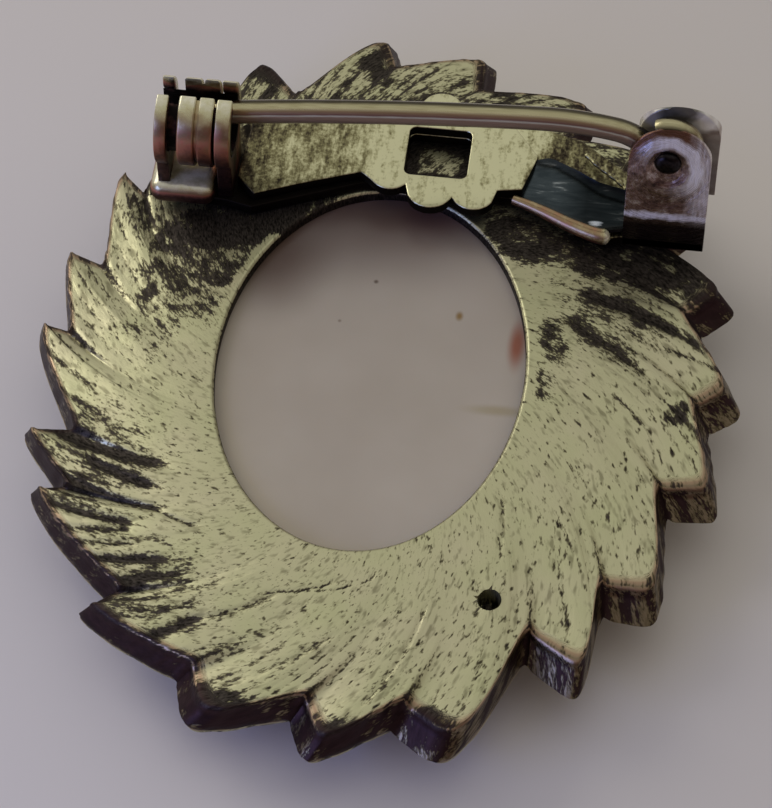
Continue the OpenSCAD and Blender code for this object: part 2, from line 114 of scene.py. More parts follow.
# Section of the ring: share of the rim reach, own reach, height, leaf step, flare,
# side (0 back, 1 wall, 2 front), and the number of rows up to the next point.
SECTION = [
    (0, 0, 4.4, 0, 0, 1, 3), (0, 0, 4.86, 0, 0, 1, 3), (0, 0.015, 5.0, 0, 0, 0, 11),
    (0.2, 0, 4.95, 0, 0, 0, 13), (0.4, 0, 4.825, 0, 0, 0, 13), (0.6, 0, 4.625, 0.06, 0, 0, 14),
    (0.8, 0, 4.375, 0.5, 0, 0, 9), (0.93, 0, 4.2, 0.9, 0, 0, 4), (0.985, 0, 4.05, 1, 0, 1, 2),
    (1, 0, 3.7, 1, 0, 1, 6), (1, 0, 2.85, 0.6, 1, 1, 3), (1, 0, 2.45, 0.6, 0.75, 2, 5),
    (0.85, 0, 1.7, 0.4, 0, 2, 7), (0.58, 0, 1.3, 0.2, 0, 2, 5), (0, 0.35, 1.05, 0, 0, 2, 2),
    (0, 0.32, 0.15, 0, 0, 2, 1), (0, 0.3, 0, 0, 0, 2, 1), (0, 0.255, 0, 0, 0, 2, 3),
    (0, LIP, 1.8, 0, 0, 2, 1), (0, POCKET, 2.15, 0, 0, 2, 1), (0, POCKET, 4.4, 0, 0, 2, 1),
]

# Chased grooves in the back: straightened angle and reach at both ends, width and depth in
# millimetres, and how dark the antiquing stands in them.
GROOVES = [
    (220.3, 0.8, 219.5, 0.38, 0.42, 0.13, 1.0), (224.1, 0.66, 226, 0.46, 0.4, 0.12, 1.0),
    (229.4, 0.86, 232.2, 0.48, 0.3, 0.12, 1.0), (232.2, 0.48, 237.5, 0.34, 0.2, 0.08, 0.7),
    (236.2, 0.92, 236.7, 0.64, 0.34, 0.12, 1.0), (240.7, 0.9, 238.7, 0.66, 0.22, 0.09, 0.9),
    (243.6, 0.95, 242.1, 0.68, 0.18, 0.08, 0.8), (246.8, 0.98, 246, 0.62, 0.3, 0.12, 1.0),
    (249.9, 0.94, 252.5, 0.77, 0.22, 0.09, 0.8), (251.3, 0.81, 250.2, 0.58, 0.28, 0.1, 0.9),
    (266.3, 1.0, 263.1, 0.72, 0.4, 0.13, 1.0), (263.1, 0.72, 265.4, 0.4, 0.2, 0.07, 0.6),
    (264, 0.37, 274.3, 0.22, 0.2, 0.06, 0.7), (269.8, 0.97, 272.5, 0.66, 0.2, 0.06, 0.4),
    (280.5, 0.91, 285.5, 0.55, 0.2, 0.06, 0.4), (11.6, 0.47, 11.2, 0.77, 0.16, 0.07, 0.85),
    (33.1, 0.42, 35.2, 0.89, 0.45, 0.1, 0.9), (23.6, 0.28, 21.3, 0.58, 0.5, 0.07, 0.6),
    (29.2, 0.7, 33.6, 1.0, 0.18, 0.08, 0.9), (19.5, 0.85, 20.1, 0.96, 0.3, 0.08, 0.75),
    (328.1, 0.14, 322.7, 0.36, 0.25, 0.04, 0.5), (337.4, 0.6, 338.4, 0.87, 0.25, 0.06, 0.6),
    (269.2, 0.3, 285.1, 0.19, 0.2, 0.05, 0.7), (340.2, 0.43, 341.4, 0.63, 0.2, 0.05, 0.55),
    (223.2, 0.15, 240.5, 0.21, 0.09, 0.03, 0.6), (303, 0.9, 303.5, 0.45, 0.22, 0.06, 0.4),
    (318, 0.8, 316.5, 0.4, 0.22, 0.06, 0.4), (352, 0.85, 350.5, 0.4, 0.25, 0.06, 0.4),
]
# Where the antiquing was left standing, and painted shade under the bar and among the top leaves: middle,
# half sizes, turn and strength.
STAINS_AND_SHADE = [
    (-8.6, 7.4, 4.4, 1.9, 20, 1.4), (-10.4, 3.6, 3.2, 3.2, 0, 0.62), (-8.0, 4.2, 1.5, 1.6, 0, 0.85),
    (-12.0, 0.2, 2.0, 1.8, 0, 0.34), (11.6, 7.8, 5.5, 2.1, -8, 1.05), (10.8, 4.6, 3.4, 1.3, -20, 0.5),
    (8.1, 1.9, 0.8, 1.7, 20, 0.62), (7.9, -0.8, 0.7, 1.1, 10, 0.55), (10.4, 2.6, 2.4, 1.2, -30, 0.4),
    (-5.2, -20.4, 1.9, 0.8, -10, 1.0), (0.6, -21.3, 1.2, 0.8, 0, 0.8), (4.6, -20.2, 0.9, 0.8, 0, 0.8),
    (0.0, 15.5, 14.0, 4.5, 0, 0.45), (-13.4, 8.2, 1.4, 2.0, 0, 0.5), (-14.4, -5.6, 1.3, 0.9, 0, 0.55),
    (5.8, 8.3, 2.2, 1.5, -35, 1.2), (-5.6, 9.0, 2.4, 1.4, 35, 1.2),
    (-9.0, -18.4, 1.0, 0.8, 0, 0.9), (14.5, -1.4, 0.5, 0.9, -30, 0.7), (-10.2, 6.0, 2.0, 1.6, 0, 1.0),
    (-2.8, 19.4, 0.9, 1.7, 20, 1.1), (3.7, 19.2, 1.2, 1.3, 0, 1.1), (-8.5, 18.6, 1.5, 0.9, 20, 1.0),
    (4.9, 17.2, 1.8, 0.8, -10, 0.8), (1.2, 16.8, 2.4, 0.8, 0, 0.8), (-3.4, 16.5, 2.0, 0.7, 0, 0.8),
    (-13.4, -7.2, 3.4, 2.8, 0, 0.42), (-10.2, -15.0, 3.8, 2.4, 30, 0.42),
]
# Stains on the back of the cameo, and the painted shadow of the bar over its top and upper left: middle
# and half sizes in millimetres, colour and strength.
CAMEO_STAINS_AND_SHADOW = [
    (6.35, 1.9, 0.45, 1.5, "#94482A", 0.9), (-1.1, 5.15, 0.13, 0.13, "#4A3220", 0.8),
    (3.3, 3.45, 0.2, 0.3, "#8C6A28", 0.9), (-2.6, 2.45, 0.1, 0.1, "#6A5648", 0.6),
    (5.75, -2.25, 1.6, 0.35, "#9A8A5C", 0.5), (-2.0, 10.2, 8.0, 4.6, "#553A32", 0.85),
    (1.6, 9.8, 2.0, 1.3, "#6E4038", 0.4), (-6.6, 6.4, 3.0, 3.8, "#5E483E", 0.9),
]

# Outlines of the bar and of its pad, scallops and hole, in shares of the bar's length and half width.
BAR_EDGE = [
    (0, -0.86), (0.142, -1), (0.188, -1.14), (0.273, -0.68), (0.383, -0.09), (0.667, -0.18),
    (0.745, -0.64), (0.816, -1.14), (0.851, -1), (1, -1), (1, 1), (0.844, 1), (0.812, 1.32),
    (0.766, 1.77), (0.66, 2.18), (0.532, 2.41), (0.404, 2.36), (0.277, 2.05), (0.163, 1.5),
    (0.121, 1), (0, 1),
]
PAD_EDGE = [
    (0.156, -0.46), (0.191, -0.95), (0.273, -0.5), (0.376, 0), (0.394, -0.18), (0.624, -0.18),
    (0.668, -0.08), (0.69, 0.95), (0.638, 1.85), (0.546, 2.27), (0.461, 2.27), (0.355, 2.09),
    (0.248, 1.73), (0.167, 1.32),
]
SCALLOPS = [(0.429, 0.05, 0.48), (0.504, -0.32, 0.55), (0.582, -0.3, 0.52), (0.504, 2.14, 0.5)]
HOLE_AT, HOLE, HOLE_R = (0.509, 0.8), 3.2, 0.35

# Sides of the dished end of the bar, and the middle lines of its flange and of its far lip.
TROUGH_NEAR = [(5.5, 10.0), (6.9, 9.45), (8.4, 8.8), (9.7, 8.3), (10.95, 8.6)]
TROUGH_FAR = [(5.5, 12.4), (7.0, 12.6), (8.3, 12.0), (9.5, 11.3), (10.95, 10.9)]
FLANGE = [(5.3, 10.1), (6.2, 9.75), (7.1, 9.35), (8.4, 8.72), (9.7, 8.25), (10.45, 8.2)]
FAR_LIP = [(8.7, 13.3), (9.3, 12.7), (9.9, 12.2), (10.5, 11.7), (10.95, 11.2)]

# The figure on the front of the cameo, seen from the front, in shares of CAMEO_RY.
BUST = [
    (-0.215, 0.485), (-0.25, 0.43), (-0.262, 0.385), (-0.258, 0.355), (-0.243, 0.335),
    (-0.262, 0.295), (-0.29, 0.25), (-0.312, 0.228), (-0.302, 0.212), (-0.268, 0.205),
    (-0.262, 0.19), (-0.278, 0.172), (-0.268, 0.158), (-0.272, 0.142), (-0.256, 0.122),
    (-0.262, 0.098), (-0.248, 0.074), (-0.215, 0.062), (-0.15, 0.08), (-0.1, 0.07),
    (-0.085, 0.02), (-0.09, -0.06), (-0.115, -0.13), (-0.17, -0.185), (-0.24, -0.24),
    (-0.285, -0.33), (-0.27, -0.43), (-0.2, -0.52), (-0.08, -0.565), (0.06, -0.55),
    (0.19, -0.49), (0.3, -0.4), (0.335, -0.3), (0.3, -0.2), (0.22, -0.12), (0.145, -0.06),
    (0.12, 0.02), (0.13, 0.1), (0.2, 0.2), (0.24, 0.32), (0.225, 0.43), (0.16, 0.52),
    (0.05, 0.565), (-0.06, 0.56), (-0.15, 0.53),
]
HAIR = [
    (-0.225, 0.47), (-0.15, 0.44), (-0.11, 0.38), (-0.06, 0.31), (-0.02, 0.25), (0.03, 0.2),
    (0.1, 0.13), (0.17, 0.12), (0.22, 0.18), (0.28, 0.22), (0.36, 0.26), (0.4, 0.34),
    (0.37, 0.43), (0.3, 0.47), (0.24, 0.5), (0.17, 0.57), (0.06, 0.61), (-0.06, 0.61),
    (-0.16, 0.57), (-0.21, 0.52),
]
CURL = [
    (0.06, 0.14), (0.12, 0.16), (0.17, 0.05), (0.2, -0.04), (0.18, -0.12), (0.12, -0.17),
    (0.09, -0.12), (0.12, -0.05), (0.1, 0.03),
]
DRAPE = [
    (-0.27, -0.43), (-0.2, -0.52), (-0.08, -0.565), (0.06, -0.55), (0.19, -0.49), (0.3, -0.4),
    (0.335, -0.3), (0.3, -0.25), (0.2, -0.32), (0.08, -0.38), (-0.05, -0.4), (-0.16, -0.37),
    (-0.26, -0.3),
]


def paint(code):
    """A colour given as sRGB hex, as linear red, green, blue and alpha."""
    shares = [int(code[i:i + 2], 16) / 255 for i in (1, 3, 5)]
    return tuple(c / 12.92 if c <= 0.04045 else ((c + 0.055) / 1.055) ** 2.4 for c in shares) + (1.0,)


class BroochSizes(bpy.types.PropertyGroup):
    """Sizes of the dressing that a user may change."""

    edge: bpy.props.FloatProperty(
        name="Edge rounding", description="Rounding of the edges of the sheet metal",
        default=0.07 * MM, min=0.01 * MM, max=0.2 * MM, unit='LENGTH')
    groove: bpy.props.FloatProperty(
        name="Groove depth", description="Depth of the grooves between the ridges of a leaf",
        default=0.014 * MM, min=0, max=0.15 * MM, unit='LENGTH')
    dish: bpy.props.FloatProperty(
        name="Dish", description="Depth of the shallow dish in the back of the cameo",
        default=0.1 * MM, min=0, max=0.4 * MM, unit='LENGTH')
    key: bpy.props.FloatProperty(
        name="Key light", description="Power of the large soft light",
        default=0.15, min=0, max=50, unit='POWER')


class BroochColours(bpy.types.PropertyGroup):
    """Colours of the dressing that a user may change."""

    metal: bpy.props.FloatVectorProperty(
        name="Cast metal", description="Bare places of the antiqued casting",
        subtype='COLOR', size=4, default=paint("#CDCAA8"), min=0, max=1)
    antique: bpy.props.FloatVectorProperty(
        name="Antiquing", description="Black left in the hollows of the casting",
        subtype='COLOR', size=4, default=paint("#1D1A17"), min=0, max=1)
    steel: bpy.props.FloatVectorProperty(
        name="Steel", description="Polished steel of the hinge",
        subtype='COLOR', size=4, default=paint("#F4F2FA"), min=0, max=1)
    wire: bpy.props.FloatVectorProperty(
        name="Pin wire", description="Drawn wire of the pin",
        subtype='COLOR', size=4, default=paint("#DAD8C6"), min=0, max=1)
    floor: bpy.props.FloatVectorProperty(
        name="Floor", description="Pale floor under the brooch",
        subtype='COLOR', size=4, default=paint("#DED8D9"), min=0, max=1)


def sizes():
    return bpy.context.scene.brooch_sizes


def colours():
    return bpy.context.scene.brooch_colours


# ---- Materials

def put(material, kind, inputs=(), ramp=(), out=None, **settings):
    """Adds a node and gives back the output that is named, or else the first one in use.

    The inputs are values, or sockets to link, by name or in the order of those in use. The stops
    of a ramp are given from low to high.
    """
    tree = material.node_tree
    made = tree.nodes.new('ShaderNode' + kind)
    for name, value in settings.items():
        setattr(made, name, value)
    if kind == 'Mix':
        made.data_type = 'RGBA'
    in_use = [socket for socket in made.inputs if socket.enabled]
    for key, value in inputs.items() if isinstance(inputs, dict) else enumerate(inputs):
        socket = made.inputs[key] if isinstance(key, str) else in_use[key]
        if isinstance(value, bpy.types.NodeSocket):
            tree.links.new(value, socket)
        else:
            socket.default_value = value
    for place, (at, colour) in enumerate(ramp):
        stops = made.color_ramp.elements
        stop = stops.new(at) if 0 < place < len(ramp) - 1 else stops[-1 if place else 0]
        stop.position = at
        stop.color = paint(colour) if isinstance(colour, str) else (colour, colour, colour, 1)
    return made.outputs[out] if out else next((s for s in made.outputs if s.enabled), None)


def blank(name):
    """A new material, the way to add its nodes, and the places of the piece in millimetres."""
    made = bpy.data.materials.new(name)
    made.use_nodes = True
    made.node_tree.nodes.clear()
    add = functools.partial(put, made)
    return made, add, add('Mapping', {0: add('TexCoord', out='Object'), 'Scale': (1 / MM,) * 3})


def coated(material, tone, bare, rough, relief=None, more=()):
    """Ends a material with its shader: colour, share of bare metal and roughness.

    The relief is a height with its strength and its depth in millimetres.
    """
    looks = {'Base Color': tone, 'Metallic': bare, 'Roughness': rough, **dict(more)}
    if relief:
        height, strength, depth = relief
        looks['Normal'] = put(material, 'Bump', {'Strength': strength, 'Distance': depth * MM,
                                                 'Height': height})
    put(material, 'OutputMaterial', (put(material, 'BsdfPrincipled', looks),))
    return material


def antiqued_casting():
    """Zinc-alloy casting, plated pale yellow, dipped black and rubbed back.

    The ridges shine satin, the black stands in the grooves, pits and hollows, and breaks up
    in streaks along the leaves where it was rubbed. The near-black walls and the dark patches
    under the bar are partly antiquing and partly painted shade.
    """
    made, add, mm = blank("antiqued cast pot metal")
    flow = add('Attribute', out='Vector', attribute_name="flow")
    hollow, stain_and_shade, side = [add('Attribute', out='Fac', attribute_name=name)
                           for name in ("hollow", "stain_and_shade", "side")]
    # Along the leaves: rubbing streaks about 0.4 mm wide and 0.7 mm long, grains of black about
    # 0.12 mm across, casting pits about 0.25 mm across, and faint spots about 0.35 mm across.
    streaks, grains, pits, faint = [
        add('TexNoise', (add('Mapping', (flow, shift, (0, 0, 0), scale)), 1.0, detail, rough))
        for shift, scale, detail, rough in (
            ((0, 0, 0), (2.6, 2.6, 1.5), 4.0, 0.62), ((0, 0, 0), (7.5, 7.5, 5.6), 3.0, 0.6),
            ((0, 0, 0), (3.4, 3.4, 3.2), 2.0, 0.5), ((3, 1, 0), (2.9, 2.9, 1.9), 1.5, 0.5))]
    # There are more pits in the hollows.
    pitted = add('Math', (hollow, 0.22, -0.6), operation='MULTIPLY_ADD')
    pitted = add('Math', (pits, pitted), operation='ADD')
    pitted = add('Math', (pitted, 4.6), operation='MULTIPLY', use_clamp=True)
    # The black that the rubbing left, in cloudy stains, in the hollows and on the walls; on the walls and
    # under the bar it is partly painted shade.
    cloud = add('MapRange', (add('TexNoise', (mm, 1.1, 3.0)), 0.38, 0.6, 0.5, 1.1))
    black = -1.87
    for place, much in ((streaks, 1.6), (grains, 1.6), (stain_and_shade, cloud), (hollow, 0.95), (side, 0.62)):
        black = add('Math', (place, much, black), operation='MULTIPLY_ADD')
    black = add('Math', (black, 2.4), operation='MULTIPLY', use_clamp=True)
    for marks in (pitted, add('MapRange', (faint, 0.56, 0.72, 0.0, 0.3))):
        black = add('Math', (black, marks), operation='MAXIMUM')
    bare = add('ValToRGB', (add('TexNoise', (mm, 0.35, 3.0)),),
               ramp=[(0.3, "#C6C79C"), (0.7, "#D2CAAC")])
    bare = add('Mix', (0.5, bare, colours().metal))
    # The bare metal turns copper-coloured along the rim and on the walls.
    copper = add('ValToRGB', (side,), ramp=[(0.35, "#A27E6C"), (0.8, "#6C564A")])
    bare = add('Mix', (add('MapRange', (side, 0.0, 0.4, 0.0, 0.8)), bare, copper))
    film = add('Mix', (add('MapRange', (black, 0.0, 0.5, 0.0, 0.85)), bare, paint("#5E573F")))
    soot = add('Mix', (add('MapRange', (grains, 0.35, 0.68)), colours().antique, paint("#57504A")))
    # The walls are painted near black: partly antiquing, partly painted shade.
    wall_black_and_shade = add('Mix', (streaks, paint("#1C1618"), paint("#4A3638")))
    soot = add('Mix', (side, soot, wall_black_and_shade))
    tone = add('Mix', (add('MapRange', (black, 0.35, 0.9)), film, soot))
    rough = add('MapRange', (black, 0.0, 1.0, 0.4, 0.6))
    rough = add('Math', (side, -0.12, rough), operation='MULTIPLY_ADD')
    height = add('Math', (black, -0.5, streaks), operation='MULTIPLY_ADD')
    height = add('Math', (grains, 0.35, height), operation='MULTIPLY_ADD')
    return coated(made, tone, 1.0, rough, (height, 0.45, 0.04))


def plated_sheet():
    """Stamped sheet, plated pale yellow and worn, with black left in upright streaks, and painted shade
    on its sides.
    """
    made, add, mm = blank("worn plated sheet")
    stain_and_shade = add('Attribute', out='Fac', attribute_name="stain_and_shade")
    streaks = add('TexNoise', (add('Mapping', {0: mm, 'Scale': (2.6, 0.8, 1.0)}), 1.0, 5.0, 0.68))
    grains = add('TexNoise', (mm, 6.0, 4.0))
    left = add('Math', (streaks, 1.9, -1.42), operation='MULTIPLY_ADD')
    left = add('Math', (grains, 0.9, left), operation='MULTIPLY_ADD')
    left = add('Math', (stain_and_shade, left), operation='ADD')
    left = add('Math', (left, 0.95), operation='MULTIPLY', use_clamp=True)
    tone = add('ValToRGB', (left,), ramp=[(0.0, "#DEDBB6"), (0.2, "#C4C09A"), (0.45, "#8A8462"),
                                          (0.72, "#4E4638"), (1.0, "#1E1A17")])
    height = add('Math', (left, -0.4, grains), operation='MULTIPLY_ADD')
    return coated(made, tone, 1.0, add('MapRange', (left, 0.0, 1.0, 0.3, 0.55)), (height, 0.2, 0.02))


def burnished_trough():
    """Rolled steel sheet, polished: a mirror whose dark blue-black tone is painted dark reflection, with
    thin bright scuffs.
    """
    made, add, mm = blank("burnished rolled steel")
    scuff = add('Mapping', {0: mm, 'Rotation': (0, 0, 0.42), 'Scale': (0.55, 2.8, 2.0)})
    lines = add('TexNoise', {0: scuff, 'Scale': 1.0, 'Detail': 5.0, 'Roughness': 0.6,
                             'Distortion': 0.6})
    tone = add('ValToRGB', (lines,), ramp=[(0.4, "#3A4248"), (0.58, "#4A5258"), (0.72, "#A2A8AC")])
    # It is painted darker toward the hinge as shade, with one painted glint in its low corner.
    deep = add('MapRange', (add('SeparateXYZ', (mm,), out='X'), 7.6, 9.0, 1.0, 0.3))
    tone = add('Mix', (1.0, tone, deep), blend_type='MULTIPLY')
    # The painted glint.
    spot = add('Mapping', {0: mm, 'Location': (-9.55 * 1.4, -9.0 * 2.6, 0), 'Scale': (1.4, 2.6, 0)})
    spot = add('Math', (lines, 1.2, add('VectorMath', (spot,), operation='LENGTH')),
               operation='MULTIPLY_ADD')
    spot = add('MapRange', (spot, 1.1, 0.7))
    tone = add('Mix', (spot, tone, paint("#D4DCEC")))
    return coated(made, tone, add('MapRange', (spot, 0.0, 1.0, 1.0, 0.3)), 0.2, (lines, 0.2, 0.03))


def polished_ear():
    """Stamped steel ear, polished round the rivet on a wheel in fine rings, with painted dark
    reflections, painted highlights and painted shade on its foot.
    """
    made, add, mm = blank("wheel-polished steel")
    centred = add('Mapping', {0: mm, 'Location': (-RIVET_X, 0, POLISH_AND_HIGHLIGHT_DROP - RIVET_Z)})
    across, up = [add('SeparateXYZ', (centred,), out=axis) for axis in 'XZ']
    reach = add('VectorMath', (add('CombineXYZ', (across, up)),), operation='LENGTH')
    noise = add('TexNoise', (mm, 1.3, 3.0))
    wobble = add('Math', (noise, 0.5, reach), operation='MULTIPLY_ADD')
    # Polishing rings about 0.12 mm apart.
    rings = add('Math', (wobble, 24.0), operation='MULTIPLY')
    rings = add('TexNoise', (add('CombineXYZ', (rings, noise)), 1.0, 2.0))
    # The mottled dark tone is painted dark reflection.
    tone = add('ValToRGB', (add('TexNoise', (mm, 2.4, 6.0, 0.72)),),
               ramp=[(0.34, "#4E4242"), (0.52, "#927A72"), (0.7, "#DAD0D0")])
    # Upright brush marks, about 0.15 mm apart.
    brushed = add('TexNoise', (add('Mapping', {0: mm, 'Scale': (6.5, 1.0, 0.8)}), 1.0, 3.0))
    # The painted highlight: a bright ring from 1.1 to 1.8 mm off the middle, strongest up and toward the
    # end of the bar.
    painted_ring = add('ValToRGB', (add('Math', (wobble, 0.3), operation='MULTIPLY'),),
               ramp=[(0.38, 0.0), (0.45, 1.0), (0.58, 1.0), (0.66, 0.0)])
    aim = add('Math', (across, 0.42, 0.5), operation='MULTIPLY_ADD')
    aim = add('Math', (up, 0.36, aim), operation='MULTIPLY_ADD', use_clamp=True)
    painted_highlight = add('Math', (painted_ring, aim), operation='MULTIPLY')
    # Painted highlights: bright brush marks on the right side, and a bright crease on the bend below.
    painted_foot_shade = add('MapRange', (up, -3.4, -2.6))
    painted_flank = add('Math', (add('MapRange', (across, 0.9, 1.5)), brushed), operation='MULTIPLY')
    painted_flank = add('Math', (painted_flank, painted_foot_shade), operation='MULTIPLY')
    low = add('Math', (noise, 0.5, up), operation='MULTIPLY_ADD')
    low = add('Math', (low, 2.45), operation='ADD')
    painted_crease = add('MapRange', (add('Math', (low, low), operation='MULTIPLY'), 0.0, 0.09, 1.0, 0.0))
    for marks in (painted_flank, painted_crease):
        painted_highlight = add('Math', (painted_highlight, marks), operation='MAXIMUM')
    grit = add('Math', (brushed, 0.9, 0.55), operation='MULTIPLY_ADD')
    painted_highlight = add('Math', (painted_highlight, grit), operation='MULTIPLY', use_clamp=True)
    # Copper shows on the rounded rim, and the foot is painted dark as shade.
    rim = add('Math', (add('MapRange', (wobble, 1.95, 2.1)), add('MapRange', (up, -0.4, 0.6))),
              operation='MULTIPLY')
    tone = add('Mix', (rim, tone, paint("#7E5E50")))
    tone = add('Mix', (painted_foot_shade, paint("#40363A"), tone))
    tone = add('Mix', (painted_highlight, tone, colours().steel))
    # Where the highlight is painted the steel is made less metallic, so that the pale paint shows like
    # fine frost.
    highlight_matt = add('MapRange', (painted_highlight, 0.0, 1.0, 1.0, 0.25))
    rough = add('MapRange', (rings, 0.3, 0.7, 0.2, 0.36))
    boss = add('ValToRGB', (add('Math', (reach, 0.4), operation='MULTIPLY'),),
               ramp=[(0.28, 0.0), (0.42, 1.0), (0.54, 0.8), (0.76, 0.0)])
    boss = add('Math', (boss, 4.0, rings), operation='MULTIPLY_ADD')
    return coated(made, tone, highlight_matt, rough, (boss, 0.7, 0.04))


def bright_steel():
    """Polished steel of the far ear, with a few dull blots, and painted light and shade round its top."""
    made, add, mm = blank("polished steel")
    blot = add('TexNoise', (mm, 1.6, 4.0))
    tone = add('ValToRGB', (blot,), ramp=[(0.3, "#F0EEEC"), (0.55, "#C8C2BE"), (0.75, "#8E8886")])
    # Painted light and shade round its top: from grey to dark, to a painted glint on the shoulder and to
    # brown.
    centred = add('Mapping', {0: mm, 'Location': (-RIVET_X, 0, -RIVET_Z)})
    across, up = [add('SeparateXYZ', (centred,), out=axis) for axis in 'XZ']
    aim = add('Math', (up, across), operation='ARCTAN2')
    aim = add('Math', (blot, 0.5, aim), operation='MULTIPLY_ADD')
    painted_light_round_top = add('ValToRGB', (add('MapRange', (aim, -math.pi / 2, math.pi)),), ramp=[
        (0.3, "#7A6A66"), (0.42, "#9A8880"), (0.47, "#FFFFFF"), (0.54, "#FFFFFF"), (0.6, "#5C5A50"),
        (0.78, "#3E423C"), (0.86, "#B4B0AC"), (0.95, "#D8D4D0")])
    tone = add('Mix', (0.8, tone, painted_light_round_top))
    return coated(made, tone, 0.35, add('MapRange', (blot, 0.0, 1.0, 0.12, 0.34)))


def turned_catch():
    """Turned and plated brass of the catch: smooth bands with a blotchy tarnish, and painted light and
    shade: pale on top, copper-toned and dark low down.
    """
    made, add, mm = blank("turned plated brass")
    blotch = add('TexNoise', (mm, 1.6, 5.0, 0.65))
    tarnish_and_shade = add('Math', (blotch, 0.5, -0.25), operation='MULTIPLY_ADD')
    tarnish_and_shade = add('Math', (add('Attribute', out='Fac', attribute_name="stain_and_shade"), tarnish_and_shade),
                  operation='ADD', use_clamp=True)
    tone = add('ValToRGB', (tarnish_and_shade,), ramp=[
        (0.0, "#F2EED6"), (0.2, "#D6D0A6"), (0.42, "#A88E70"), (0.58, "#BC7C6C"), (0.8, "#6E4E4A"),
        (1.0, "#1E191A")])
    bare = add('MapRange', (tarnish_and_shade, 0.0, 0.4, 0.35, 1.0))
    rough = add('MapRange', (tarnish_and_shade, 0.0, 1.0, 0.2, 0.5))
    return coated(made, tone, bare, rough, (blotch, 0.2, 0.03))


def drawn_wire():
    """Hard drawn wire: bright, with fine die lines along its length, and painted light and shade round
    it.
    """
    made, add, mm = blank("drawn pin wire")
    die = add('TexNoise', (add('Mapping', {0: mm, 'Scale': (0.12, 9.0, 9.0)}), 1.0, 3.0))
    bright = add('Mix', (die, paint("#A89F84"), colours().wire))
    # Painted light and shade round the wire, by how far each place is turned: bright lines at the top and
    # low down, a pale band, and a brown shaded side turned away from the light.
    turn = add('Math', (die, 0.04, add('Attribute', out='Fac', attribute_name="turn")),
               operation='MULTIPLY_ADD')
    film = add('ValToRGB', (turn,), ramp=[
        (0.1, "#FFFFFF"), (0.16, "#5A5654"), (0.27, "#7A746C"), (0.36, "#ECE8D4"), (0.47, "#FFFAE6"),
        (0.55, "#C8AC90"), (0.64, "#B08A88"), (0.665, "#FFFFFF"), (0.685, "#FFFFFF"),
        (0.71, "#C4A8A2"), (0.92, "#B4A098"), (1.0, "#8A7A74")])
    tone = add('Mix', (1.0, bright, film), blend_type='MULTIPLY')
    bare = add('MapRange', (turn, 0.45, 0.58, 1.0, 0.35))
    return coated(made, tone, bare, add('MapRange', (die, 0.0, 1.0, 0.3, 0.2)), (die, 0.25, 0.02))


def blued_rivet():
    """Blued steel rivet: near black, with one soft glint on its dome."""
    made, add, mm = blank("blued steel rivet")
    grain = add('TexNoise', (mm, 6.0, 3.0))
    tone = add('ValToRGB', (grain,), ramp=[(0.3, "#19171A"), (0.8, "#3A3436")])
    return coated(made, tone, 1.0, add('MapRange', (grain, 0.0, 1.0, 0.24, 0.42)))


def milky_resin():
    """Moulded resin, milky: smooth and glossy, with faint flow lines, a few stains, and the painted
    shadow of the bar across its top.
    """
    made, add, mm = blank("moulded milky resin")
    tone = add('ValToRGB', (add('TexNoise', (mm, 0.16, 3.0)),),
               ramp=[(0.3, "#B4A99C"), (0.7, "#BEB4A8")])
    # The stains, and the painted shadow of the bar.
    for x, y, wide, high, code, much in CAMEO_STAINS_AND_SHADOW:
        far = add('Mapping', {0: mm, 'Location': (-x / wide, -y / high, -SEAT_Z),
                              'Scale': (1 / wide, 1 / high, 1)})
        far = add('VectorMath', (far,), operation='LENGTH')
        blot = add('MapRange', (far, 1.4, 0.2, 0.0, much), interpolation_type='SMOOTHSTEP')
        tone = add('Mix', (blot, tone, paint(code)))
    return coated(made, tone, 0.0, 0.32, (add('TexNoise', (mm, 0.8, 2.0)), 0.1, 0.05),
                  {'Subsurface Weight': 0.15, 'Subsurface Radius': (0.0012, 0.0008, 0.0006)})


def pale_floor():
    """Plain matt board, pale."""
    made, add, mm = blank("pale matt board")
    tone = add('Mix', (add('TexNoise', (mm, 0.05, 3.0)), paint("#DAD5D6"), colours().floor))
    return coated(made, tone, 0.0, 0.7)


# ---- Modelling helpers: all places and lengths that they are given are in millimetres, but for
# the width of a rounding.

def work_on(piece):
    """Selects one piece alone, or none."""
    bpy.ops.object.select_all(action='DESELECT')
    if piece:
        piece.select_set(True)
        bpy.context.view_layer.objects.active = piece


@contextlib.contextmanager
def editing(piece):
    """Edit mode, with the whole of a piece selected."""
    work_on(piece)
    bpy.ops.object.mode_set(mode='EDIT')
    bpy.ops.mesh.select_all(action='SELECT')
    yield
    bpy.ops.object.mode_set(mode='OBJECT')


def added(name, outline=()):
    """Names the piece that was just added, and its mesh, and lays its points on an outline."""
    made = bpy.context.object
    made.name = made.data.name = name
    for corner, place in zip(made.data.vertices, outline):
        corner.co = [c * MM for c in place]
    return made


def modify(piece, kind, **settings):
    """Adds a modifier with its settings and applies it."""
    work_on(piece)
    new = piece.modifiers.new(kind.lower(), kind)
    for name, value in settings.items():
        setattr(new, name, value)
    bpy.ops.object.modifier_apply(modifier=new.name)


def smooth(piece, angle=40):
    """Shades a piece smooth, all but the edges that are sharper than the angle."""
    work_on(piece)
    bpy.ops.object.shade_smooth_by_angle(angle=math.radians(angle))


def ease(piece, width=None, segments=3):
    """Rounds the sharp edges and shades the rest smooth."""
    modify(piece, 'BEVEL', width=width or sizes().edge, segments=segments, limit_method='ANGLE',
           angle_limit=math.radians(35), harden_normals=False)
    smooth(piece)


def tidy_mesh(piece):
    """Merges doubles and turns every face outwards."""
    with editing(piece):
        bpy.ops.mesh.remove_doubles(threshold=0.001 * MM)
        bpy.ops.mesh.normals_make_consistent(inside=False)


